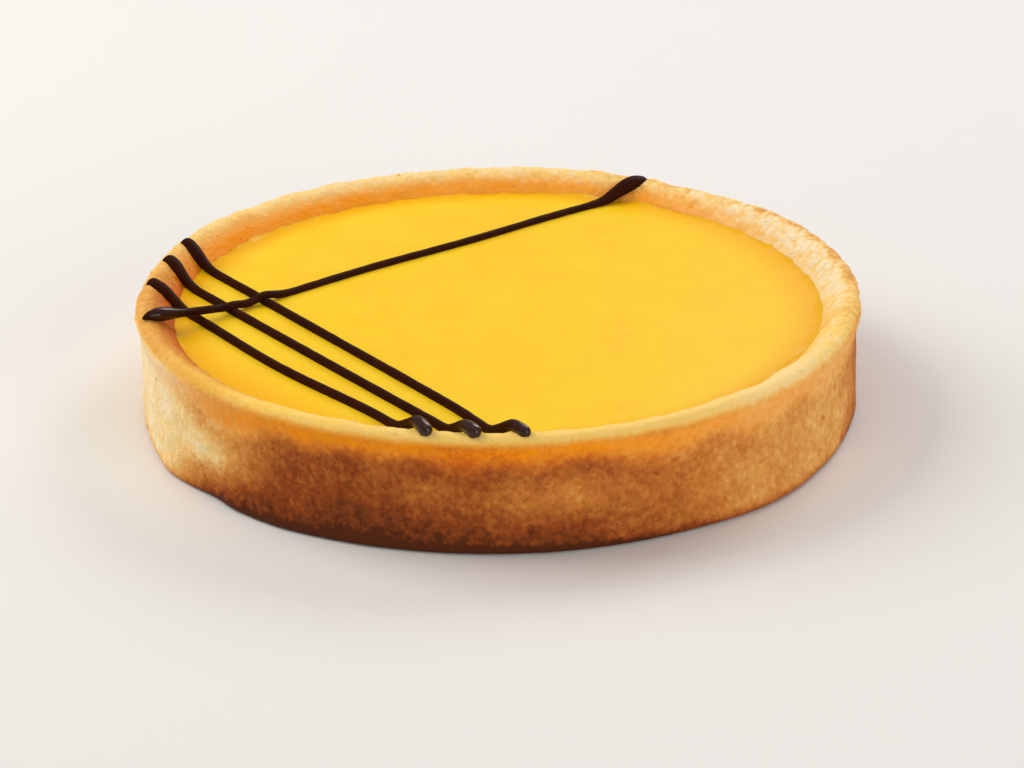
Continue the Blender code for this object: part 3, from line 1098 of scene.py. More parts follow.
@dataclass
class PastryCase:
    """The baked shortcrust case, with its sandy relief.

    Args:
        steps: Steps round the case.
        slope_rings: Rings over the inner slope.
        lip_rings: Rings from the crest to the lip.
        wall_rings: Rings down the outer wall.
        foot_rings: Rings round the foot.
        under_rings: Rings over the underside.
        relief_floor: Height over which the relief starts from the table.
        relief_inset: How far inside the filling's edge the relief starts.
        relief_fade: Width over which it starts there.
        wall_baking_and_shade: How far the outer wall is baked, by azimuth in degrees, with painted
            shade: darker across the front and at the far right edge, where shade falls.
        rim_baking_and_shade: How far the rim is baked, by azimuth, with painted shade on the left
            and at the far right edge, and painted light on the right, where light falls.
        rim_from: How far below the lip the rim's baking and painted shade start.
        rim_fade: Height over which it takes over from the wall's.
        slope_shade: Painted shade: how much darker the inner slope gets on its way down, by
            azimuth, most on the left, where the rim shades it.
        slope_rate: How fast it does, from the crest inwards.
        depth_shade: Painted shade: how much darker the slope is at the filling, all round, in the
            corner where they meet.
        lip_shade: Painted shade: how much darker the crest and the lip are than the inner slope, by
            azimuth, on the right, where they face away from the light.
        lip_width: Width over which they get so.
        band_gold: How golden the band under the lip is, by azimuth.
        crest_butter: How buttery the crest and the inner slope are, by azimuth.
        film_gold: How golden the slope beside the filling is, by azimuth.
        rim_crumble: How crumbly the rim is, by azimuth.
        foot_shade: Painted shade: how much darker the foot is than the wall, by azimuth, standing
            in for the shade near the table.
        foot_shade_height: How far up the wall the foot's painted shade reaches.
        edge_shade: Painted shade: how much darker the lowest edge is, where it meets the table.
        edge_shade_height: How far up that painted shade reaches.
        film_height: How far the golden film reaches above the filling.
        film_rate: How fast it fades there.
        band_height: How far the golden band reaches below the crest.
        band_waver: How much further or less far it reaches from place to place.
        band_waver_size: Length of the stretches where it does.
        band_paling: How much less the wall is baked inside the band.
        band_from: How far below the crest the band starts.
        band_rise: How fast it starts.
        band_end: Where it ends, as a share of its reach.
        crumb_floor: Lowest height at which crumbs cling.
        crumb_fade: Height over which they become usual.
        wall_crumbs: Share of the rim's crumbs that the wall has.
        bare_below: Share of the relief below which no crumb clings.
        patches: Single patches of the wall that are more or less baked, and one of painted shadow
            under the chocolate lines' ends.
    """

    steps: int = 1100
    slope_rings: int = 18
    lip_rings: int = 10
    wall_rings: int = 42
    foot_rings: int = 5
    under_rings: int = 5
    relief_floor: float = 1.2 * MM
    relief_inset: float = 0.5 * MM
    relief_fade: float = 1.6 * MM
    # Baking with painted shade: the front and the far right edge are darker because shade falls
    # there.
    wall_baking_and_shade: Keys = (
        (-180.0, 0.14), (-162.0, 0.06), (-149.0, 0.10), (-138.0, 0.48), (-126.0, 0.71),
        (-112.0, 0.77), (-95.0, 0.69), (-80.0, 0.65), (-65.0, 0.66), (-50.0, 0.49),
        (-36.0, 0.43), (-24.0, 0.41), (-12.0, 0.66), (20.0, 0.56), (90.0, 0.48), (150.0, 0.30),
    )
    # Baking with painted light and shade: darker on the left, where shade falls, paler on the
    # right, where light falls.
    rim_baking_and_shade: Keys = (
        (-180.0, 0.42), (-160.0, 0.40), (-142.0, 0.40), (-122.0, 0.08), (-60.0, 0.02),
        (-40.0, 0.00), (-24.0, 0.06), (-12.0, 0.16), (0.0, 0.02), (20.0, 0.00), (40.0, 0.08),
        (60.0, 0.22), (85.0, 0.13), (120.0, 0.12), (150.0, 0.17),
    )
    rim_from: float = 0.3 * MM
    rim_fade: float = 1.4 * MM
    # Painted shade that the rim casts on the inner slope on the left.
    slope_shade: Keys = (
        (-180.0, 0.19), (-150.0, 0.19), (-128.0, 0.04), (-100.0, 0.00), (120.0, 0.00),
        (150.0, 0.10),
    )
    slope_rate: float = 2.2
    # Painted shade in the corner at the filling.
    depth_shade: float = 0.13
    # Painted shade on the right of the crest and the lip.
    lip_shade: Keys = (
        (-40.0, 0.00), (-14.0, 0.14), (5.0, 0.34), (28.0, 0.30), (50.0, 0.06), (70.0, 0.00),
    )
    lip_width: float = 1.8 * MM
    band_gold: Keys = (
        (-180.0, 0.10), (-160.0, 0.12), (-148.0, 0.40), (-136.0, 0.85), (-124.0, 1.00),
        (-80.0, 1.00), (-65.0, 0.76), (-50.0, 0.62), (-24.0, 0.50), (0.0, 0.30), (90.0, 0.50),
        (150.0, 0.30),
    )
    crest_butter: Keys = (
        (-180.0, 0.10), (-158.0, 0.15), (-140.0, 0.50), (-125.0, 0.74), (-60.0, 0.74),
        (-40.0, 0.50), (-24.0, 0.50), (-12.0, 0.30), (10.0, 0.00), (40.0, 0.00), (60.0, 0.15),
        (120.0, 0.30), (150.0, 0.20),
    )
    film_gold: Keys = (
        (-180.0, 0.78), (-150.0, 0.66), (-120.0, 0.44), (-90.0, 0.40), (-40.0, 0.18),
        (0.0, 0.00), (25.0, 0.10), (45.0, 0.34), (60.0, 0.60), (90.0, 0.80), (140.0, 0.92),
    )
    rim_crumble: Keys = (
        (-180.0, 0.80), (-90.0, 0.70), (-40.0, 1.00), (0.0, 1.50), (50.0, 1.60), (80.0, 1.10),
        (150.0, 0.80),
    )
    # Painted shade near the table, darkest at the front left.
    foot_shade: Keys = (
        (-180.0, 0.05), (-158.0, 0.05), (-148.0, 0.24), (-136.0, 0.42), (-122.0, 0.26),
        (-80.0, 0.28), (-65.0, 0.04), (-48.0, 0.00), (-20.0, 0.02), (90.0, 0.10),
    )
    foot_shade_height: float = 9.0 * MM
    # Painted contact shadow along the lowest edge.
    edge_shade: float = 0.3
    edge_shade_height: float = 2.0 * MM
    film_height: float = 2.8 * MM
    film_rate: float = 1.5
    band_height: float = 3.5 * MM
    band_waver: float = 0.5
    band_waver_size: float = 8.0 * MM
    band_paling: float = 0.45
    band_from: float = 0.3 * MM
    band_rise: float = 2.1
    band_end: float = 1.6
    crumb_floor: float = 0.4 * MM
    crumb_fade: float = 2.0 * MM
    wall_crumbs: float = 0.25
    bare_below: float = 0.05
    patches: tuple[BakingAndShadePatch, ...] = (
        BakingAndShadePatch(-139.0, 6.8 * MM, 7.0, 2.6 * MM, -0.28),
        BakingAndShadePatch(-147.0, 12.6 * MM, 6.0, 2.0 * MM, 0.14),
        BakingAndShadePatch(-132.0, 11.2 * MM, 5.0, 2.4 * MM, -0.04),
        BakingAndShadePatch(-82.0, 7.5 * MM, 9.0, 2.6 * MM, -0.08),
        BakingAndShadePatch(-119.0, 8.5 * MM, 9.0, 3.0 * MM, 0.06),
        BakingAndShadePatch(-68.0, 9.5 * MM, 6.0, 3.0 * MM, 0.04),
        # Painted shadow under the ends of the chocolate lines.
        BakingAndShadePatch(-95.0, 13.4 * MM, 8.0, 2.4 * MM, 0.20),
        BakingAndShadePatch(-24.0, 6.0 * MM, 8.0, 2.6 * MM, -0.08),
        BakingAndShadePatch(-80.0, 12.6 * MM, 7.0, 1.8 * MM, 0.14),
    )

    def profile(self) -> Profile:
        """Profile of the case: its inside, inner slope, rim, outer wall, foot and underside.

        Returns:
            The profile in the true form.
        """
        slope = np.linspace(FORM.inner_edge, FORM.crest_radius, self.slope_rings, endpoint=False)
        rim = (FORM.crest_inset, FORM.lip_drop)
        neck_radius, neck_height = FORM.neck
        heights = np.linspace(FORM.lip_height, FORM.foot_height, self.wall_rings + 1)[1:-1]
        corners = ((FORM.foot_height, neck_height, FORM.lip_height),)
        radii = np.interp(heights, *corners, (FORM.foot_radius, neck_radius, FORM.lip_radius))
        foot = (FORM.foot_radius - FORM.flat_radius, FORM.foot_height)
        under = np.linspace(FORM.flat_radius, 0.0, self.under_rings + 1)[1:]
        return Profile.joined(
            (
                inner_stretch(0.0),
                (slope, FORM.inner_slope(slope)),
                quarter((FORM.crest_radius, FORM.lip_height), rim, 90.0, 0.0, self.lip_rings),
                (radii, heights),
                quarter((FORM.flat_radius, FORM.foot_height), foot, 0.0, -90.0, self.foot_rings),
                (under, np.zeros_like(under)),
            )
        )

    def build(self) -> bpy.types.Mesh:
        """Builds the uneven case with its coarse relief and the values it carries.

        Returns:
            The mesh.
        """
        profile = self.profile()
        azimuth = np.linspace(0.0, math.tau, self.steps, endpoint=False)
        radius, turn = np.meshgrid(profile.radius, azimuth, indexing="ij")
        height = np.repeat(profile.height[:, None], self.steps, axis=1)
        true = turned_places(radius, turn, height)
        shows = self.exposure(radius, height)
        relief = np.zeros_like(height)
        bare = shows > 0.0
        coarse = perlin(true[bare], FORM.crumb_scale)
        fine = perlin(true[bare], FORM.fine_scale * FORM.crumb_scale)
        relief[bare] = FORM.crumb_relief * (coarse + FORM.fine_share * fine) * shows[bare]
        across, up = profile.normal()
        radius_now, height_now = FORM.uneven(radius, turn, height)
        radius_now = radius_now + relief * across[:, None]
        height_now = height_now + relief * up[:, None]
        mesh = turned_mesh("pastry_case", turned_places(radius_now, turn, height_now))
        for name, values in self.marks(radius, turn, height, shows).items():
            mark(mesh, name, values)
        return mesh

    def exposure(self, radius: np.ndarray, height: np.ndarray) -> np.ndarray:
        """How much relief each point takes: none inside, underneath or against the filling.

        Args:
            radius: Radii in the true form.
            height: Heights in the true form.

        Returns:
            The share of the full relief, 0 to 1.
        """
        above_table = ease(height / self.relief_floor)
        above_filling = ease((radius - FORM.inner_edge + self.relief_inset) / self.relief_fade)
        return above_table * above_filling

    def marks(
        self, radius: np.ndarray, azimuth: np.ndarray, height: np.ndarray, shows: np.ndarray
    ) -> dict[Mark, np.ndarray]:
        """Baking with painted shade, gilding, roughness and crumbs of each point.

        Args:
            radius: Radii in the true form.
            azimuth: Azimuths in radians.
            height: Heights in the true form.
            shows: How much relief each point takes.

        Returns:
            The values, by what they are.
        """
        inside = radius < FORM.crest_radius
        above = height - FORM.fill_level
        on_rim = ease((height - (FORM.lip_height - self.rim_from)) / self.rim_fade)
        on_rim = np.where(inside, 1.0, on_rim)
        low = ease(1.0 - height / self.foot_shade_height)
        band_reach = self.band_height * (1.0 + self.band_waver * self.along_rim(azimuth[0]))
        below_crest = (FORM.rim_height - self.band_from - height) / band_reach
        band = ease(self.band_rise * below_crest) * ease(self.band_end - below_crest) * ~inside
        # The wall's baking with painted shade, darker at the front and at the far right edge.
        wall = around(azimuth, self.wall_baking_and_shade) * (1.0 - self.band_paling * band)
        # Painted shade at the foot.
        wall = wall + around(azimuth, self.foot_shade) * low + self.patched(azimuth, height)
        # Painted contact shadow along the lowest edge.
        wall = wall + self.edge_shade * ease(1.0 - height / self.edge_shade_height)
        # Painted shade in the corner where the slope meets the filling.
        slope = self.depth_shade * ease(1.0 - above / FORM.fill_depth) * inside
        inward = (FORM.crest_radius - radius) / (FORM.crest_radius - FORM.inner_edge)
        # Painted shade of the rim on the inner slope.
        slope = slope + around(azimuth, self.slope_shade) * ease(self.slope_rate * inward) * inside
        # Painted shade on the crest and the lip on the right, which face away from the light.
        lip = ease((radius - FORM.crest_radius + self.lip_width) / self.lip_width)
        lip = around(azimuth, self.lip_shade) * lip
        # The rim's baking, with painted shade on the slope and the lip added.
        rim = around(azimuth, self.rim_baking_and_shade) + slope + lip
        film = ease(self.film_rate - self.film_rate * above / self.film_height) * inside
        gold = around(azimuth, self.film_gold) * film + around(azimuth, self.band_gold) * band
        rim_top = ease((height - FORM.neck[1]) / (FORM.lip_height - FORM.neck[1]))
        crumble = 1.0 + (around(azimuth, self.rim_crumble) - 1.0) * rim_top
        clings = ease((height - self.crumb_floor) / self.crumb_fade) * (shows > self.bare_below)
        clings = clings * (self.wall_crumbs + (1.0 - self.wall_crumbs) * rim_top)
        return {
            # Baking with painted shade: the wall's value on the wall, the rim's on the rim.
            Mark.BAKE: wall + (rim - wall) * on_rim,
            Mark.GOLD: np.clip(gold, 0.0, 1.0),
            Mark.BUTTER: around(azimuth, self.crest_butter) * on_rim,
            Mark.ROUGHEN: shows * crumble,
            Mark.CRUMBS: clings * crumble ** 2,
        }

    def along_rim(self, azimuth: np.ndarray) -> np.ndarray:
        """Smooth noise along the rim, at azimuths in radians."""
        return perlin(turned_places(FORM.lip_radius, azimuth, 0.0 * azimuth), self.band_waver_size)

    def patched(self, azimuth: np.ndarray, height: np.ndarray) -> np.ndarray:
        """How much more or less baked the wall is in its single patches, painted shadow included.

        Args:
            azimuth: Azimuths in radians.
            height: Heights in the true form.

        Returns:
            The change of baking and painted shade at each point.
        """
        total = np.zeros_like(height)
        for patch in self.patches:
            beside = bell(degrees_from(azimuth, patch.azimuth), patch.wide)
            total = total + patch.bake * beside * bell(height - patch.height, patch.tall)
        return total

    def relief_tree(self) -> bpy.types.NodeTree:
        """Geometry Nodes tree that roughens a surface with grains and upright streaks.

        Its sizes are in mm. Warp is how far the grains are pulled out of shape, and Least and
        Spread are how high the lowest grain is and how much higher the others get. A grain falls
        from its crown to the gap between a distance of middle and one of side, and the streaks
        are squashed upright, which makes them long.

        Returns:
            The tree.
        """
        sizes = {
            "Grain Size": 1.15,
            "Grain Height": 0.15,
            "Warp Scale": 0.7,
            "Warp": 0.55,
            "Least": 0.3,
            "Spread": 0.8,
            "Fine Size": 0.8,
            "Fine Height": 0.1,
            "Streak Size": 1.4,
            "Streak Height": 0.015,
        }
        middle, side = 0.05, 0.8
        crown, gap = 0.65, -0.35
        squash = 0.22
        inputs = (
            ("Geometry", "NodeSocketGeometry", None),
            *((name, "NodeSocketFloat", size) for name, size in sizes.items()),
            ("Finish", "NodeSocketMaterial", None),
        )
        outputs = (("Geometry", "NodeSocketGeometry"),)
        nodes, start, end = new_group("crumb_relief", "GeometryNodeTree", inputs, outputs)
        value = start.outputs

        def per(name: str) -> bpy.types.NodeSocket:
            """How many of a size there are in a mm."""
            return nodes.math("DIVIDE", 1.0, value[name])

        def rise(mask: bpy.types.NodeSocket, name: str) -> bpy.types.NodeSocket:
            """A mask about 0.5 as a rise and fall of a height."""
            return nodes.math("MULTIPLY", nodes.math("SUBTRACT", mask, 0.5), value[name])

        place = nodes.scaled(nodes.add("GeometryNodeInputPosition").outputs[0], 1.0 / MM)
        shift = nodes.noise(place, value["Warp Scale"], 1.0).outputs["Color"]
        warped = nodes.vector("ADD", place, nodes.scaled(shift, value["Warp"]))
        grains = nodes.cells(warped, per("Grain Size")).outputs
        lump = nodes.remap(grains["Distance"], middle, side, crown, gap)
        shade = nodes.add("FunctionNodeSeparateColor", {0: grains["Color"]}).outputs[0]
        shade = nodes.math("MULTIPLY_ADD", shade, value["Spread"], value["Least"])
        lump = nodes.math("MULTIPLY", lump, shade)
        lump = nodes.math("MULTIPLY", lump, value["Grain Height"])
        fine = rise(nodes.noise(place, per("Fine Size"), 3.0, 0.6).outputs[0], "Fine Height")
        tall = nodes.vector("MULTIPLY", place, (1.0, 1.0, squash))
        streak = rise(nodes.noise(tall, per("Streak Size"), 1.0).outputs[0], "Streak Height")
        total = nodes.math("ADD", nodes.math("ADD", lump, fine), streak)
        total = nodes.math("MULTIPLY", total, nodes.carried(Mark.ROUGHEN))
        share = nodes.math("DIVIDE", total, value["Grain Height"])
        stored = nodes.add(
            "GeometryNodeStoreNamedAttribute",
            {"Geometry": value["Geometry"], "Name": Mark.RELIEF.value, "Value": share},
            data_type="FLOAT",
            domain="POINT",
        )
        normal = nodes.add("GeometryNodeInputNormal").outputs[0]
        offset = nodes.scaled(normal, nodes.math("MULTIPLY", total, MM))
        values = {"Geometry": stored.outputs[0], "Offset": offset}
        moved = nodes.add("GeometryNodeSetPosition", values)
        return nodes.end_tree(moved.outputs[0], value["Finish"], end)

    def dress(self, finish: bpy.types.Material) -> bpy.types.Object:
        """Roughens the case, gives it its finish and sets it in the frame.

        Args:
            finish: The shortcrust material.

        Returns:
            The case.
        """
        obj = shown("pastry_case", self.build())
        run_nodes(obj, self.relief_tree(), {"Finish": finish})
        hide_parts(Part.CRUST.value)
        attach(obj, BODY)
        return obj


@dataclass
class LemonFilling:
    """The set lemon filling: nearly level, clinging to the case all round.

    Args:
        steps: Steps round it.
        top_rings: Rings over the level part.
        cling_rings: Rings where it rises to the case.
        cling_rise: How far it rises there, as a share of the form's cling height.
        cling_curve: How suddenly it does, at its edge.
        reach_in: How far its edge reaches into the case.
        edge_drop: How thick its edge is there.
        edge_falls: How far its edge falls, as shares of that.
        climb: How unevenly it climbs the case, up and down.
        climb_size: Length of the broader tongues of its edge.
        narrow_tongue: Size and height of the narrower tongues, as shares.
        edge_tint_and_shade: Width of its deeper-coloured edge in mm, by azimuth in degrees: partly
            its own colour, partly painted shade, widest at the front left, where the rim shades it.
        edge_tint_curve: How suddenly that edge deepens towards the case.
    """

    steps: int = 600
    top_rings: int = 48
    cling_rings: int = 12
    cling_rise: float = 1.6
    cling_curve: float = 2.2
    reach_in: float = 0.9 * MM
    edge_drop: float = 0.9 * MM
    edge_falls: tuple[float, float] = (0.6, 1.6)
    climb: float = 0.22 * MM
    climb_size: float = 5.0 * MM
    narrow_tongue: tuple[float, float] = (0.35, 0.5)
    edge_tint_curve: float = 1.5
    # Partly painted shade of the rim, widest at the front left.
    edge_tint_and_shade: Keys = (
        (-180.0, 7.0), (-145.0, 10.0), (-115.0, 5.0), (-60.0, 4.0), (-20.0, 7.5), (20.0, 9.0),
        (50.0, 6.0), (90.0, 4.5),
    )

    def profile(self) -> Profile:
        """Profile of the filling: its top, its clinging edge, its side and its bottom.

        Returns:
            The profile in the true form.
        """
        level = FORM.inner_edge - FORM.cling_width
        top = np.linspace(0.0, level, self.top_rings, endpoint=False)
        part = np.linspace(0.0, 1.0, self.cling_rings)
        cling = level + part * (FORM.cling_width + self.reach_in)
        rise = FORM.fill_level + self.cling_rise * FORM.cling_height * part ** self.cling_curve
        edge = np.array([FORM.inner_edge + self.reach_in, FORM.inner_edge - FORM.gap])
        drop = rise[-1] - np.array(self.edge_falls) * self.edge_drop
        radii, heights = inner_stretch(FORM.gap)
        return Profile.joined(
            (
                (top, np.full_like(top, FORM.fill_level)),
                (cling, rise),
                (edge, drop),
                (radii[::-1], heights[::-1]),
            )
        )

    def build(self) -> bpy.types.Mesh:
        """Builds the filling.

        Returns:
            The mesh.
        """
        profile = self.profile()
        azimuth = np.linspace(0.0, math.tau, self.steps, endpoint=False)
        radius, turn = np.meshgrid(profile.radius, azimuth, indexing="ij")
        height = np.repeat(profile.height[:, None], self.steps, axis=1)
        out, up = FORM.uneven(np.minimum(radius, FORM.inner_edge), turn, height)
        out = out + np.maximum(radius - FORM.inner_edge, 0.0)
        places = turned_places(out, turn, up)
        top = height > FORM.fill_level - HAIR
        wave = np.zeros_like(height)
        wave[top] = FORM.wave_of_filling(places[top])
        edge = turned_places(FORM.inner_edge, azimuth, 0.0 * azimuth)
        narrow, low = self.narrow_tongue
        climb = perlin(edge, self.climb_size) + low * perlin(edge, narrow * self.climb_size)
        near_case = ease(1.0 - (FORM.inner_edge - radius) / FORM.cling_width)
        near_case = near_case * (height > FORM.base_thickness + 2.0 * FORM.inner_fillet)
        places[..., 2] += wave + self.climb * climb * near_case
        mesh = turned_mesh("lemon_filling", places)
        # Deeper colour at the edge, partly painted shade of the rim.
        width = around(turn, self.edge_tint_and_shade) * MM
        deep = ease(1.0 - (FORM.inner_edge - radius) / width) ** self.edge_tint_curve
        mark(mesh, Mark.EDGE_TINT_AND_SHADE, deep)
        return mesh

    def dress(self, finish: bpy.types.Material) -> bpy.types.Object:
        """Gives the filling its finish and sets it in the frame.

        Args:
            finish: The lemon material.

        Returns:
            The filling.
        """
        mesh = self.build()
        mesh.materials.append(finish)
        obj = shown("lemon_curd", mesh)
        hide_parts(Part.FILLING.value)
        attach(obj, BODY)
        return obj


@dataclass(frozen=True)
class LineEnd:
    """How a piped line starts or ends.

    Args:
        radius: Half-thickness where the line is fattest near this end.
        reach: Over what length it swells to that.
        fattest: How far from the tip it is fattest.
        taper: Length over which the tip is rounded off.
        span: Length over which it hangs straight between what stands highest under it.
        fold: How far it is raised where it doubles over itself.
        sink: How far its tip is pressed into the rim.
        sink_reach: Over what length that fades.
        bridge: Length over which it bridges a hollow corner.
        gloss: How glossy its glossiest place is, 0 to 1.
        gloss_at: How far from the tip that place is.
        gloss_reach: Over what length the gloss fades.
    """

    radius: float
    reach: float = 4.5 * MM
    fattest: float = 0.0
    taper: float = 0.9 * MM
    span: float = 0.0
    fold: float = 0.0
    sink: float = 0.0
    sink_reach: float = 2.4 * MM
    bridge: float = 1.2 * MM
    gloss: float = 0.0
    gloss_at: float = 1.2 * MM
    gloss_reach: float = 1.6 * MM


def draped_start(radius: float) -> LineEnd:
    """Start of a long line, which lies over the rim and swells to a half-thickness."""
    return LineEnd(radius, reach=3.5 * MM, taper=0.5 * MM, sink=1.2 * MM, bridge=3.0 * MM)


@dataclass(frozen=True)
class PipedLine:
    """One piped line over the top.

    Args:
        name: The piece's name.
        route: Plan points in mm.
        radius: Half-thickness along its middle.
        start: How it starts.
        end: How it ends.
    """

    name: str
    route: tuple[tuple[float, float], ...]
    radius: float
    start: LineEnd
    end: LineEnd


@dataclass(frozen=True)
class LaidLine:
    """A piped line where it lies.

    Args:
        path: Its plan points.
        centres: Its centre points.
        radii: Its half-thickness at each.
        gloss: How glossy it is at each.
    """

    path: np.ndarray
    centres: np.ndarray
    radii: np.ndarray
    gloss: np.ndarray


@dataclass
class ChocolateLines:
    """The four piped lines, in the order they were piped.

    Args:
        lines: The lines.
        spacing: Distance between points along a line.
        tip_share: How far along its taper a tip starts, so that it has some thickness.
        seat: Share of its half-thickness by which a line's middle stands above what carries it.
        overlap_lift: How far a line is lifted over one piped before it.
        overlap_reach: How far from the crossing it is lifted.
        fold_from_tip: Where the fold is.
        fold_width: How long the fold is.
    """

    lines: tuple[PipedLine, ...] = (
        PipedLine(
            name="chocolate_long_back",
            route=(
                (-45.0, 18.9), (-40.7, 13.5), (-6.7, -33.8), (-0.8, -43.2), (1.6, -47.0),
                (3.6, -49.4),
            ),
            radius=0.65 * MM,
            start=draped_start(1.25 * MM),
            end=LineEnd(0.85 * MM, span=8.5 * MM, fold=0.9 * MM, gloss=0.8),
        ),
        PipedLine(
            name="chocolate_long_middle",
            route=(
                (-47.0, 12.7), (-42.6, 6.7), (-12.1, -34.7), (-6.6, -42.4), (-4.4, -46.9),
                (-2.8, -49.5),
            ),
            radius=0.65 * MM,
            start=draped_start(1.3 * MM),
            end=LineEnd(0.95 * MM, span=8.5 * MM, fold=0.75 * MM, gloss=1.0),
        ),
        PipedLine(
            name="chocolate_long_front",
            route=(
                (-48.7, 4.1), (-44.2, -0.1), (-29.8, -20.5), (-17.1, -35.6), (-13.3, -40.9),
                (-9.0, -48.8),
            ),
            radius=0.65 * MM,
            start=draped_start(1.3 * MM),
            end=LineEnd(0.95 * MM, span=9.0 * MM, fold=0.9 * MM, gloss=1.0),
        ),
        PipedLine(
            name="chocolate_cross",
            route=(
                (-48.4, -10.2), (-34.7, 0.9), (-19.0, 13.8), (-2.6, 25.7), (11.0, 36.2),
                (22.5, 44.1),
            ),
            radius=0.57 * MM,
            start=LineEnd(
                radius=1.0 * MM,
                reach=2.4 * MM,
                fattest=3.0 * MM,
                taper=2.6 * MM,
                span=14.0 * MM,
                fold=0.5 * MM,
                gloss=0.5,
                gloss_at=3.4 * MM,
                gloss_reach=2.4 * MM,
            ),
            end=LineEnd(1.35 * MM, reach=6.5 * MM, span=8.0 * MM, sink=1.7 * MM),
        ),
    )
    spacing: float = 0.2 * MM
    tip_share: float = 0.02
    seat: float = 0.45
    overlap_lift: float = 0.85 * MM
    overlap_reach: float = 2.4 * MM
    fold_from_tip: float = 3.7 * MM
    fold_width: float = 1.9 * MM

    def smooth_path(self, points: Sequence[tuple[float, float]]) -> np.ndarray:
        """Plan points close together on a smooth curve through the given ones.

        Args:
            points: Plan points in mm.

        Returns:
            Plan points in metres, one a row.
        """
        knots = [Vector(point) * MM for point in points]
        knots.insert(0, 2.0 * knots[0] - knots[1])
        knots.append(2.0 * knots[-1] - knots[-2])
        path = []
        for before, start, end, after in zip(knots, knots[1:], knots[2:], knots[3:]):
            span = end - start
            leave = (end - before).normalized() * span.length
            arrive = (after - start).normalized() * span.length
            bend = 3.0 * span - 2.0 * leave - arrive
            twist = leave + arrive - 2.0 * span
            count = math.ceil(span.length / self.spacing)
            for i in range(count):
                t = i / count
                path.append(start + leave * t + bend * t ** 2 + twist * t ** 3)
        path.append(knots[-2])
        return np.array(path)

    def thickness(self, line: PipedLine, from_start: np.ndarray, to_end: np.ndarray) -> np.ndarray:
        """Half-thickness along a line: it swells towards each end and is round at the tips.

        Args:
            line: The line.
            from_start: Distance of each point from the start.
            to_end: Distance of each point to the end.

        Returns:
            The half-thickness at each point.
        """
        radius = line.radius * np.ones_like(from_start)
        for tip, away in ((line.start, from_start), (line.end, to_end)):
            radius = radius + (tip.radius - line.radius) * bell(away - tip.fattest, tip.reach)
        part = np.minimum(from_start / line.start.taper, to_end / line.end.taper)
        part = np.clip(part, self.tip_share, 1.0)
        return radius * np.sqrt(1.0 - (1.0 - part) ** 2)

    def crossing_lift(self, path: np.ndarray, below: Sequence[np.ndarray]) -> np.ndarray:
        """How far a line is lifted where it lies over the lines piped before it.

        Args:
            path: The line's plan points.
            below: Plan paths of the lines piped before it.

        Returns:
            The lift at each point.
        """
        lift = np.zeros(len(path))
        for other in below:
            away = np.linalg.norm(path[:, None] - other[None], axis=2).min(axis=1)
            lift = np.maximum(lift, self.overlap_lift * bell(away, self.overlap_reach))
        return lift

    def averaged(self, heights: np.ndarray, reach: np.ndarray) -> np.ndarray:
        """Heights along a line, each replaced by the mean of those within its reach.

        Args:
            heights: The heights.
            reach: How far each one's mean reaches each way.

        Returns:
            The means.
        """
        last = len(heights) - 1
        means = []
        for i, each_way in enumerate(np.rint(reach / self.spacing).astype(int)):
            side = min(each_way, i, last - i)
            means.append(heights[i - side : i + side + 1].mean())
        return np.array(means)

    def bridged(self, heights: np.ndarray, reach: np.ndarray) -> np.ndarray:
        """Heights of a soft line that spans a hollow corner and follows what stands proud."""
        spanned = np.maximum(heights, self.averaged(heights, reach))
        return self.averaged(spanned, 0.5 * reach)

    def taut(self, heights: np.ndarray) -> np.ndarray:
        """Heights of a line that hangs straight between the highest places under it.

        Args:
            heights: Heights of what lies under it.

        Returns:
            The line's heights.
        """
        pulled = heights.copy()
        for i in range(len(heights) - 2):
            for j in range(i + 2, len(heights)):
                straight = np.linspace(heights[i], heights[j], j - i + 1)
                pulled[i : j + 1] = np.maximum(pulled[i : j + 1], straight)
        return pulled

    def lay(self, line: PipedLine, below: Sequence[np.ndarray]) -> LaidLine:
        """Lays a line over the top.

        Args:
            line: The line.
            below: Plan paths of the lines piped before it.

        Returns:
            The laid line.
        """
        path = self.smooth_path(line.route)
        gaps = np.linalg.norm(np.diff(path, axis=0), axis=1)
        along = np.concatenate([[0.0], np.cumsum(gaps)])
        to_end = along[-1] - along
        tips = ((line.start, along), (line.end, to_end))
        heights = np.array([FORM.top_height(x, y) for x, y in path])
        heights = heights + self.crossing_lift(path, below)
        for tip, away in tips:
            heights = heights + tip.fold * bell(away - self.fold_from_tip, self.fold_width)
        first = int((along < line.start.span).sum())
        last = int((to_end >= line.end.span).sum())
        stretches = [self.taut(heights[:first]), heights[first:last], self.taut(heights[last:])]
        past_start = np.maximum(along, line.start.taper)
        full = self.thickness(line, past_start, np.maximum(to_end, line.end.taper))
        reach = line.start.bridge + (line.end.bridge - line.start.bridge) * ease(along / along[-1])
        heights = self.bridged(np.concatenate(stretches), reach) + self.seat * full
        radius = self.thickness(line, along, to_end)
        gloss = np.zeros_like(along)
        for tip, away in tips:
            heights = heights - tip.sink * bell(away, tip.sink_reach)
            gloss = gloss + tip.gloss * bell(away - tip.gloss_at, tip.gloss_reach)
        return LaidLine(path, np.column_stack([path, heights]), radius, gloss)

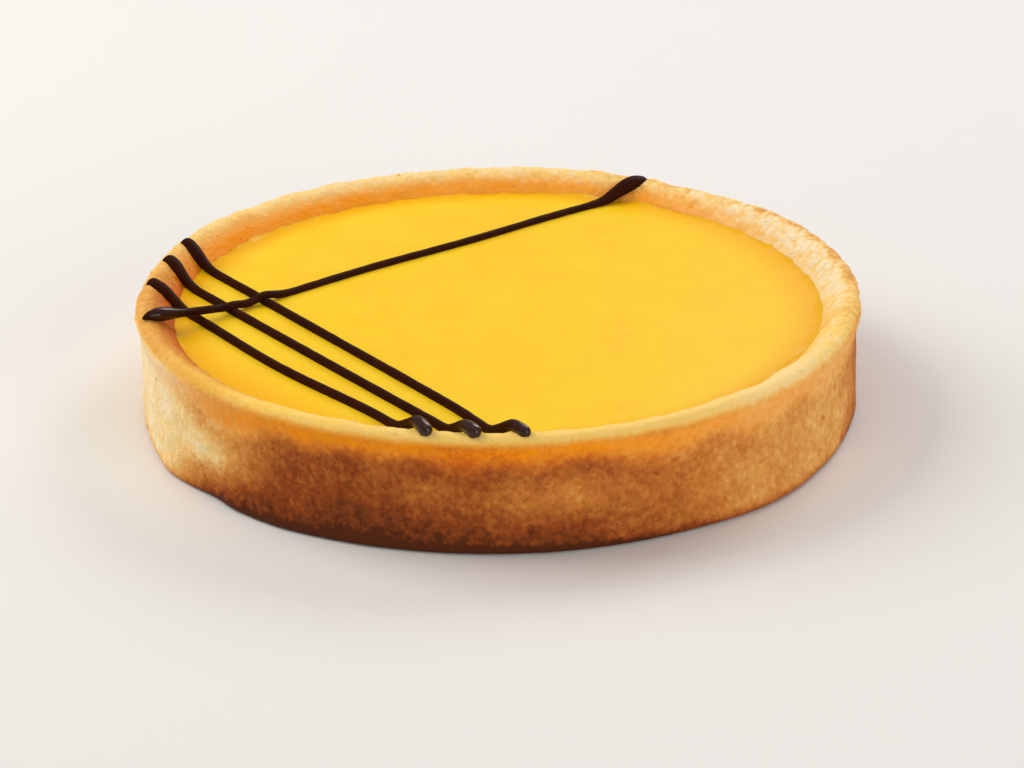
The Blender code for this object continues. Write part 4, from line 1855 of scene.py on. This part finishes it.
    def tube_tree(self) -> bpy.types.NodeTree:
        """Geometry Nodes tree that makes a piped tube along a chain of edges.

        Returns:
            The tree.
        """
        inputs = (
            ("Geometry", "NodeSocketGeometry", None),
            ("Ring Points", "NodeSocketInt", 18),
            ("Unevenness", "NodeSocketFloat", 0.16),
            ("Uneven Size", "NodeSocketFloat", 2.4 * MM),
            ("Finish", "NodeSocketMaterial", None),
        )
        outputs = (("Geometry", "NodeSocketGeometry"),)
        nodes, start, end = new_group("piped_line", "GeometryNodeTree", inputs, outputs)
        value = start.outputs
        place = nodes.add("GeometryNodeInputPosition").outputs[0]
        scale = nodes.math("DIVIDE", 1.0, value["Uneven Size"])
        wobble = nodes.math("SUBTRACT", nodes.noise(place, scale, 1.0).outputs[0], 0.5)
        share = nodes.math("MULTIPLY_ADD", wobble, value["Unevenness"], 1.0)
        radius = nodes.math("MULTIPLY", nodes.carried(Mark.RADIUS), share)
        curve = nodes.add("GeometryNodeMeshToCurve", {"Mesh": value["Geometry"]})
        inputs = {"Resolution": value["Ring Points"], "Radius": 1.0}
        ring = nodes.add("GeometryNodeCurvePrimitiveCircle", inputs)
        inputs = {0: curve.outputs[0], 1: ring.outputs[0], "Scale": radius, "Fill Caps": True}
        tube = nodes.add("GeometryNodeCurveToMesh", inputs)
        smooth = nodes.add("GeometryNodeSetShadeSmooth", {"Geometry": tube.outputs[0]})
        return nodes.end_tree(smooth.outputs[0], value["Finish"], end)

    def dress(self, finish: bpy.types.Material) -> list[bpy.types.Object]:
        """Pipes the lines, gives them their finish and sets them in the frame.

        Args:
            finish: The chocolate material.

        Returns:
            The lines.
        """
        tree = self.tube_tree()
        below: list[np.ndarray] = []
        made = []
        for line in self.lines:
            laid = self.lay(line, below)
            below.append(laid.path)
            mesh = bpy.data.meshes.new(line.name)
            edges = [(i, i + 1) for i in range(len(laid.centres) - 1)]
            mesh.from_pydata(laid.centres.tolist(), edges, [])
            mark(mesh, Mark.RADIUS, laid.radii)
            mark(mesh, Mark.GLOSS, laid.gloss)
            obj = shown(line.name, mesh)
            run_nodes(obj, tree, {"Finish": finish})
            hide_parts(Part.CRUST.value, Part.FILLING.value)
            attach(obj, BODY)
            made.append(obj)
        return made


@dataclass
class LooseCrumbs:
    """Fine crumbs that cling to the case.

    Args:
        density: Crumbs on each square metre where the case is crumbliest.
        smallest: Half-size of the smallest.
        largest: Half-size of the largest.
        flatness: How thick a crumb is, as a share of its width.
        lump_scale: How many lumps there are over a crumb's half-size.
        lump_push: How far they stand out, as a share of it.
        seed: Seed of their places, sizes and turns.
    """

    density: float = 15000.0
    smallest: float = 0.15 * MM
    largest: float = 0.34 * MM
    flatness: float = 0.6
    lump_scale: float = 0.9
    lump_push: float = 1.2
    seed: int = 7

    def tree(self) -> bpy.types.NodeTree:
        """Geometry Nodes tree that scatters uneven crumbs over a surface, and drops the surface.

        Returns:
            The tree.
        """
        inputs = (
            ("Geometry", "NodeSocketGeometry", None),
            ("Density", "NodeSocketFloat", self.density),
            ("Smallest", "NodeSocketFloat", self.smallest),
            ("Largest", "NodeSocketFloat", self.largest),
            ("Seed", "NodeSocketInt", self.seed),
            ("Finish", "NodeSocketMaterial", None),
        )
        outputs = (("Geometry", "NodeSocketGeometry"),)
        nodes, start, end = new_group("loose_crumbs", "GeometryNodeTree", inputs, outputs)
        value = start.outputs
        density = nodes.math("MULTIPLY", nodes.carried(Mark.CRUMBS), value["Density"])
        points = nodes.add(
            "GeometryNodeDistributePointsOnFaces",
            {"Mesh": value["Geometry"], "Density": density, "Seed": value["Seed"]},
            distribute_method="RANDOM",
        )
        ball = nodes.add("GeometryNodeMeshIcoSphere", {"Radius": 1.0, "Subdivisions": 2})
        place = nodes.add("GeometryNodeInputPosition").outputs[0]
        push = nodes.noise(place, self.lump_scale, 1.0).outputs["Color"]
        push = nodes.scaled(nodes.vector("SUBTRACT", push, (0.5, 0.5, 0.5)), self.lump_push)
        inputs = {"Geometry": ball.outputs[0], "Offset": push}
        lump = nodes.add("GeometryNodeSetPosition", inputs)
        smooth = nodes.add("GeometryNodeSetShadeSmooth", {"Geometry": lump.outputs[0]})
        inputs = {2: value["Smallest"], 3: value["Largest"], "Seed": value["Seed"]}
        size = nodes.add("FunctionNodeRandomValue", inputs, data_type="FLOAT")
        inputs = {0: (0.0, 0.0, 0.0), 1: (0.0, 0.0, math.tau), "Seed": value["Seed"]}
        turn = nodes.add("FunctionNodeRandomValue", inputs, data_type="FLOAT_VECTOR")
        inputs = {
            "Points": points.outputs["Points"],
            "Instance": smooth.outputs[0],
            "Rotation": points.outputs["Rotation"],
            "Scale": nodes.scaled((1.0, 1.0, self.flatness), size.outputs[1]),
        }
        placed = nodes.add("GeometryNodeInstanceOnPoints", inputs)
        inputs = {"Instances": placed.outputs[0], "Rotation": turn.outputs[0]}
        turned = nodes.add("GeometryNodeRotateInstances", inputs)
        return nodes.end_tree(turned.outputs[0], value["Finish"], end)

    def dress(self, case: bpy.types.Object, finish: bpy.types.Material) -> bpy.types.Object:
        """Scatters the crumbs on the case and sets them in the frame.

        Args:
            case: The dressed case.
            finish: The shortcrust material.

        Returns:
            The crumbs.
        """
        obj = shown("shortcrust_crumbs", case.data.copy())
        run_nodes(obj, self.tree(), {"Finish": finish})
        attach(obj, BODY)
        return obj


@dataclass(frozen=True)
class SoftLight:
    """A square soft light aimed at the tartlet.

    Args:
        name: Its name.
        azimuth: Where it stands, in degrees from +X towards +Y.
        elevation: How high it stands, in degrees.
        distance: How far it stands.
        size: Length of its side.
        power: Its power in watts.
        colour: Its linear colour.
        mirrored: Whether glossy surfaces mirror it.
        lit: Whether it lights matt surfaces.
    """

    name: str
    azimuth: float
    elevation: float
    distance: float
    size: float
    power: float
    colour: tuple[float, float, float] = (1.0, 1.0, 1.0)
    mirrored: bool = True
    lit: bool = True

    def build(self) -> bpy.types.Object:
        """Makes the light.

        Returns:
            The light.
        """
        lamp = bpy.data.lights.new(self.name, "AREA")
        lamp.shape = "SQUARE"
        lamp.size = self.size
        lamp.energy = self.power
        lamp.color = self.colour
        obj = bpy.data.objects.new(self.name, lamp)
        turn, rise = math.radians(self.azimuth), math.radians(self.elevation)
        level = math.cos(rise)
        away = Vector((level * math.cos(turn), level * math.sin(turn), math.sin(rise)))
        obj.visible_glossy = self.mirrored
        obj.visible_diffuse = self.lit
        obj.location = away * self.distance
        obj.rotation_euler = away.to_track_quat("Z", "Y").to_euler()
        bpy.context.scene.collection.objects.link(obj)
        return obj


@dataclass
class Studio:
    """The floor, the lights and the camera.

    Args:
        lights: The soft lights.
        ambient: Linear colour of the light from all round.
        ambient_strength: Its strength.
        floor_size: Length of the floor's side.
        floor_colour: Display colour of the floor.
        floor_roughness: Its roughness.
        camera_distance: Distance of the camera from the origin.
        camera_elevation: Its elevation in degrees.
        camera_roll: How far it is turned about its own line, in degrees.
        camera_lens: Its focal length in mm.
        camera_sensor: Width of its sensor in mm.
        camera_near: Nearest distance that it sees.
        aim_right: How far to the right of the origin it aims, across its view.
        aim_up: How far above the origin it aims, up its view.
    """

    lights: tuple[SoftLight, ...] = (
        SoftLight("key_light", 160.0, 40.0, 0.7, 0.50, 3.6, (1.0, 0.97, 0.93), mirrored=False),
        SoftLight("back_light", 54.0, 38.0, 0.8, 0.36, 1.95, (1.0, 0.97, 0.98)),
        SoftLight("highlight_card", 68.0, 42.0, 0.8, 0.40, 1.5, (1.0, 0.86, 1.0), lit=False),
        SoftLight("fill_light", -50.0, 20.0, 0.8, 0.40, 2.15, (1.0, 0.97, 0.93)),
        SoftLight("top_light", -90.0, 75.0, 0.8, 0.80, 0.7, (1.0, 1.0, 1.0)),
    )
    ambient: tuple[float, float, float, float] = (1.0, 1.0, 1.0, 1.0)
    ambient_strength: float = 0.3
    floor_size: float = 3.0
    floor_colour: tuple[int, int, int] = (232, 230, 226)
    floor_roughness: float = 0.8
    camera_distance: float = 478.9 * MM
    camera_elevation: float = 23.98
    camera_roll: float = 0.78
    camera_lens: float = 119.53
    camera_sensor: float = 36.0
    camera_near: float = 10.0 * MM
    aim_right: float = 1.747 * MM
    aim_up: float = 2.071 * MM

    def build_floor(self) -> bpy.types.Object:
        """Makes the plain pale floor.

        Returns:
            The floor.
        """
        half = 0.5 * self.floor_size
        outline = ((-half, -half), (half, -half), (half, half), (-half, half))
        corners = [(x, y, 0.0) for x, y in outline]
        mesh = bpy.data.meshes.new("floor")
        mesh.from_pydata(corners, [], [(0, 1, 2, 3)])
        material = bpy.data.materials.new("pale_floor")
        material.use_nodes = True
        shader = material.node_tree.nodes["Principled BSDF"]
        shader.inputs["Base Color"].default_value = linear(*self.floor_colour)
        shader.inputs["Roughness"].default_value = self.floor_roughness
        mesh.materials.append(material)
        floor = shown("floor", mesh)
        return floor

    def build_camera(self) -> bpy.types.Object:
        """Makes the camera at the photograph's angle and sets it.

        Returns:
            The camera.
        """
        rise, roll = math.radians(self.camera_elevation), math.radians(self.camera_roll)
        back = Vector((0.0, -math.cos(rise), math.sin(rise)))
        level_up = Vector((0.0, math.sin(rise), math.cos(rise)))
        right = Vector((math.cos(roll), 0.0, 0.0)) - level_up * math.sin(roll)
        up = Vector((math.sin(roll), 0.0, 0.0)) + level_up * math.cos(roll)
        place = back * self.camera_distance
        behind = (place - right * self.aim_right - up * self.aim_up).normalized()
        across = up.cross(behind).normalized()
        turn = Matrix((across, behind.cross(across), behind)).transposed()
        data = bpy.data.cameras.new("camera")
        data.sensor_width = self.camera_sensor
        data.lens = self.camera_lens
        data.clip_start = self.camera_near
        camera = bpy.data.objects.new("camera", data)
        camera.matrix_world = Matrix.Translation(place) @ turn.to_4x4()
        bpy.context.scene.collection.objects.link(camera)
        bpy.context.scene.camera = camera
        return camera

    def build_world(self) -> None:
        """Sets the light from all round and plain display colours."""
        world = bpy.data.worlds.new("studio")
        world.use_nodes = True
        background = world.node_tree.nodes["Background"]
        background.inputs["Color"].default_value = self.ambient
        background.inputs["Strength"].default_value = self.ambient_strength
        bpy.context.scene.world = world
        bpy.context.scene.view_settings.view_transform = "Standard"

    def build(self) -> None:
        """Makes the whole studio."""
        self.build_world()
        self.build_floor()
        self.build_camera()
        for light in self.lights:
            light.build()


def report(obj: bpy.types.Object) -> None:
    """Logs one finished piece and its size.

    Args:
        obj: The piece.
    """
    low = np.array(obj.bound_box).min(axis=0) / MM
    high = np.array(obj.bound_box).max(axis=0) / MM
    size = " x ".join(f"{value:.1f}" for value in high - low)
    triangles = sum(len(face.vertices) - 2 for face in obj.data.polygons)
    log.info("%s: %s mm, %d triangles", obj.name, size, triangles)


def main() -> None:
    """Dresses the frame and sets up the studio."""
    logging.basicConfig(level=logging.INFO, format="%(name)s: %(message)s")
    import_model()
    effects = SharedEffects()
    shortcrust = ShortcrustFinish().build(effects)
    lemon = LemonFinish().build(effects)
    chocolate = ChocolateFinish().build(effects)
    case = PastryCase().dress(shortcrust)
    report(case)
    report(LemonFilling().dress(lemon))
    for line in ChocolateLines().dress(chocolate):
        report(line)
    report(LooseCrumbs().dress(case, shortcrust))
    Studio().build()


if __name__ == "__main__":
    main()
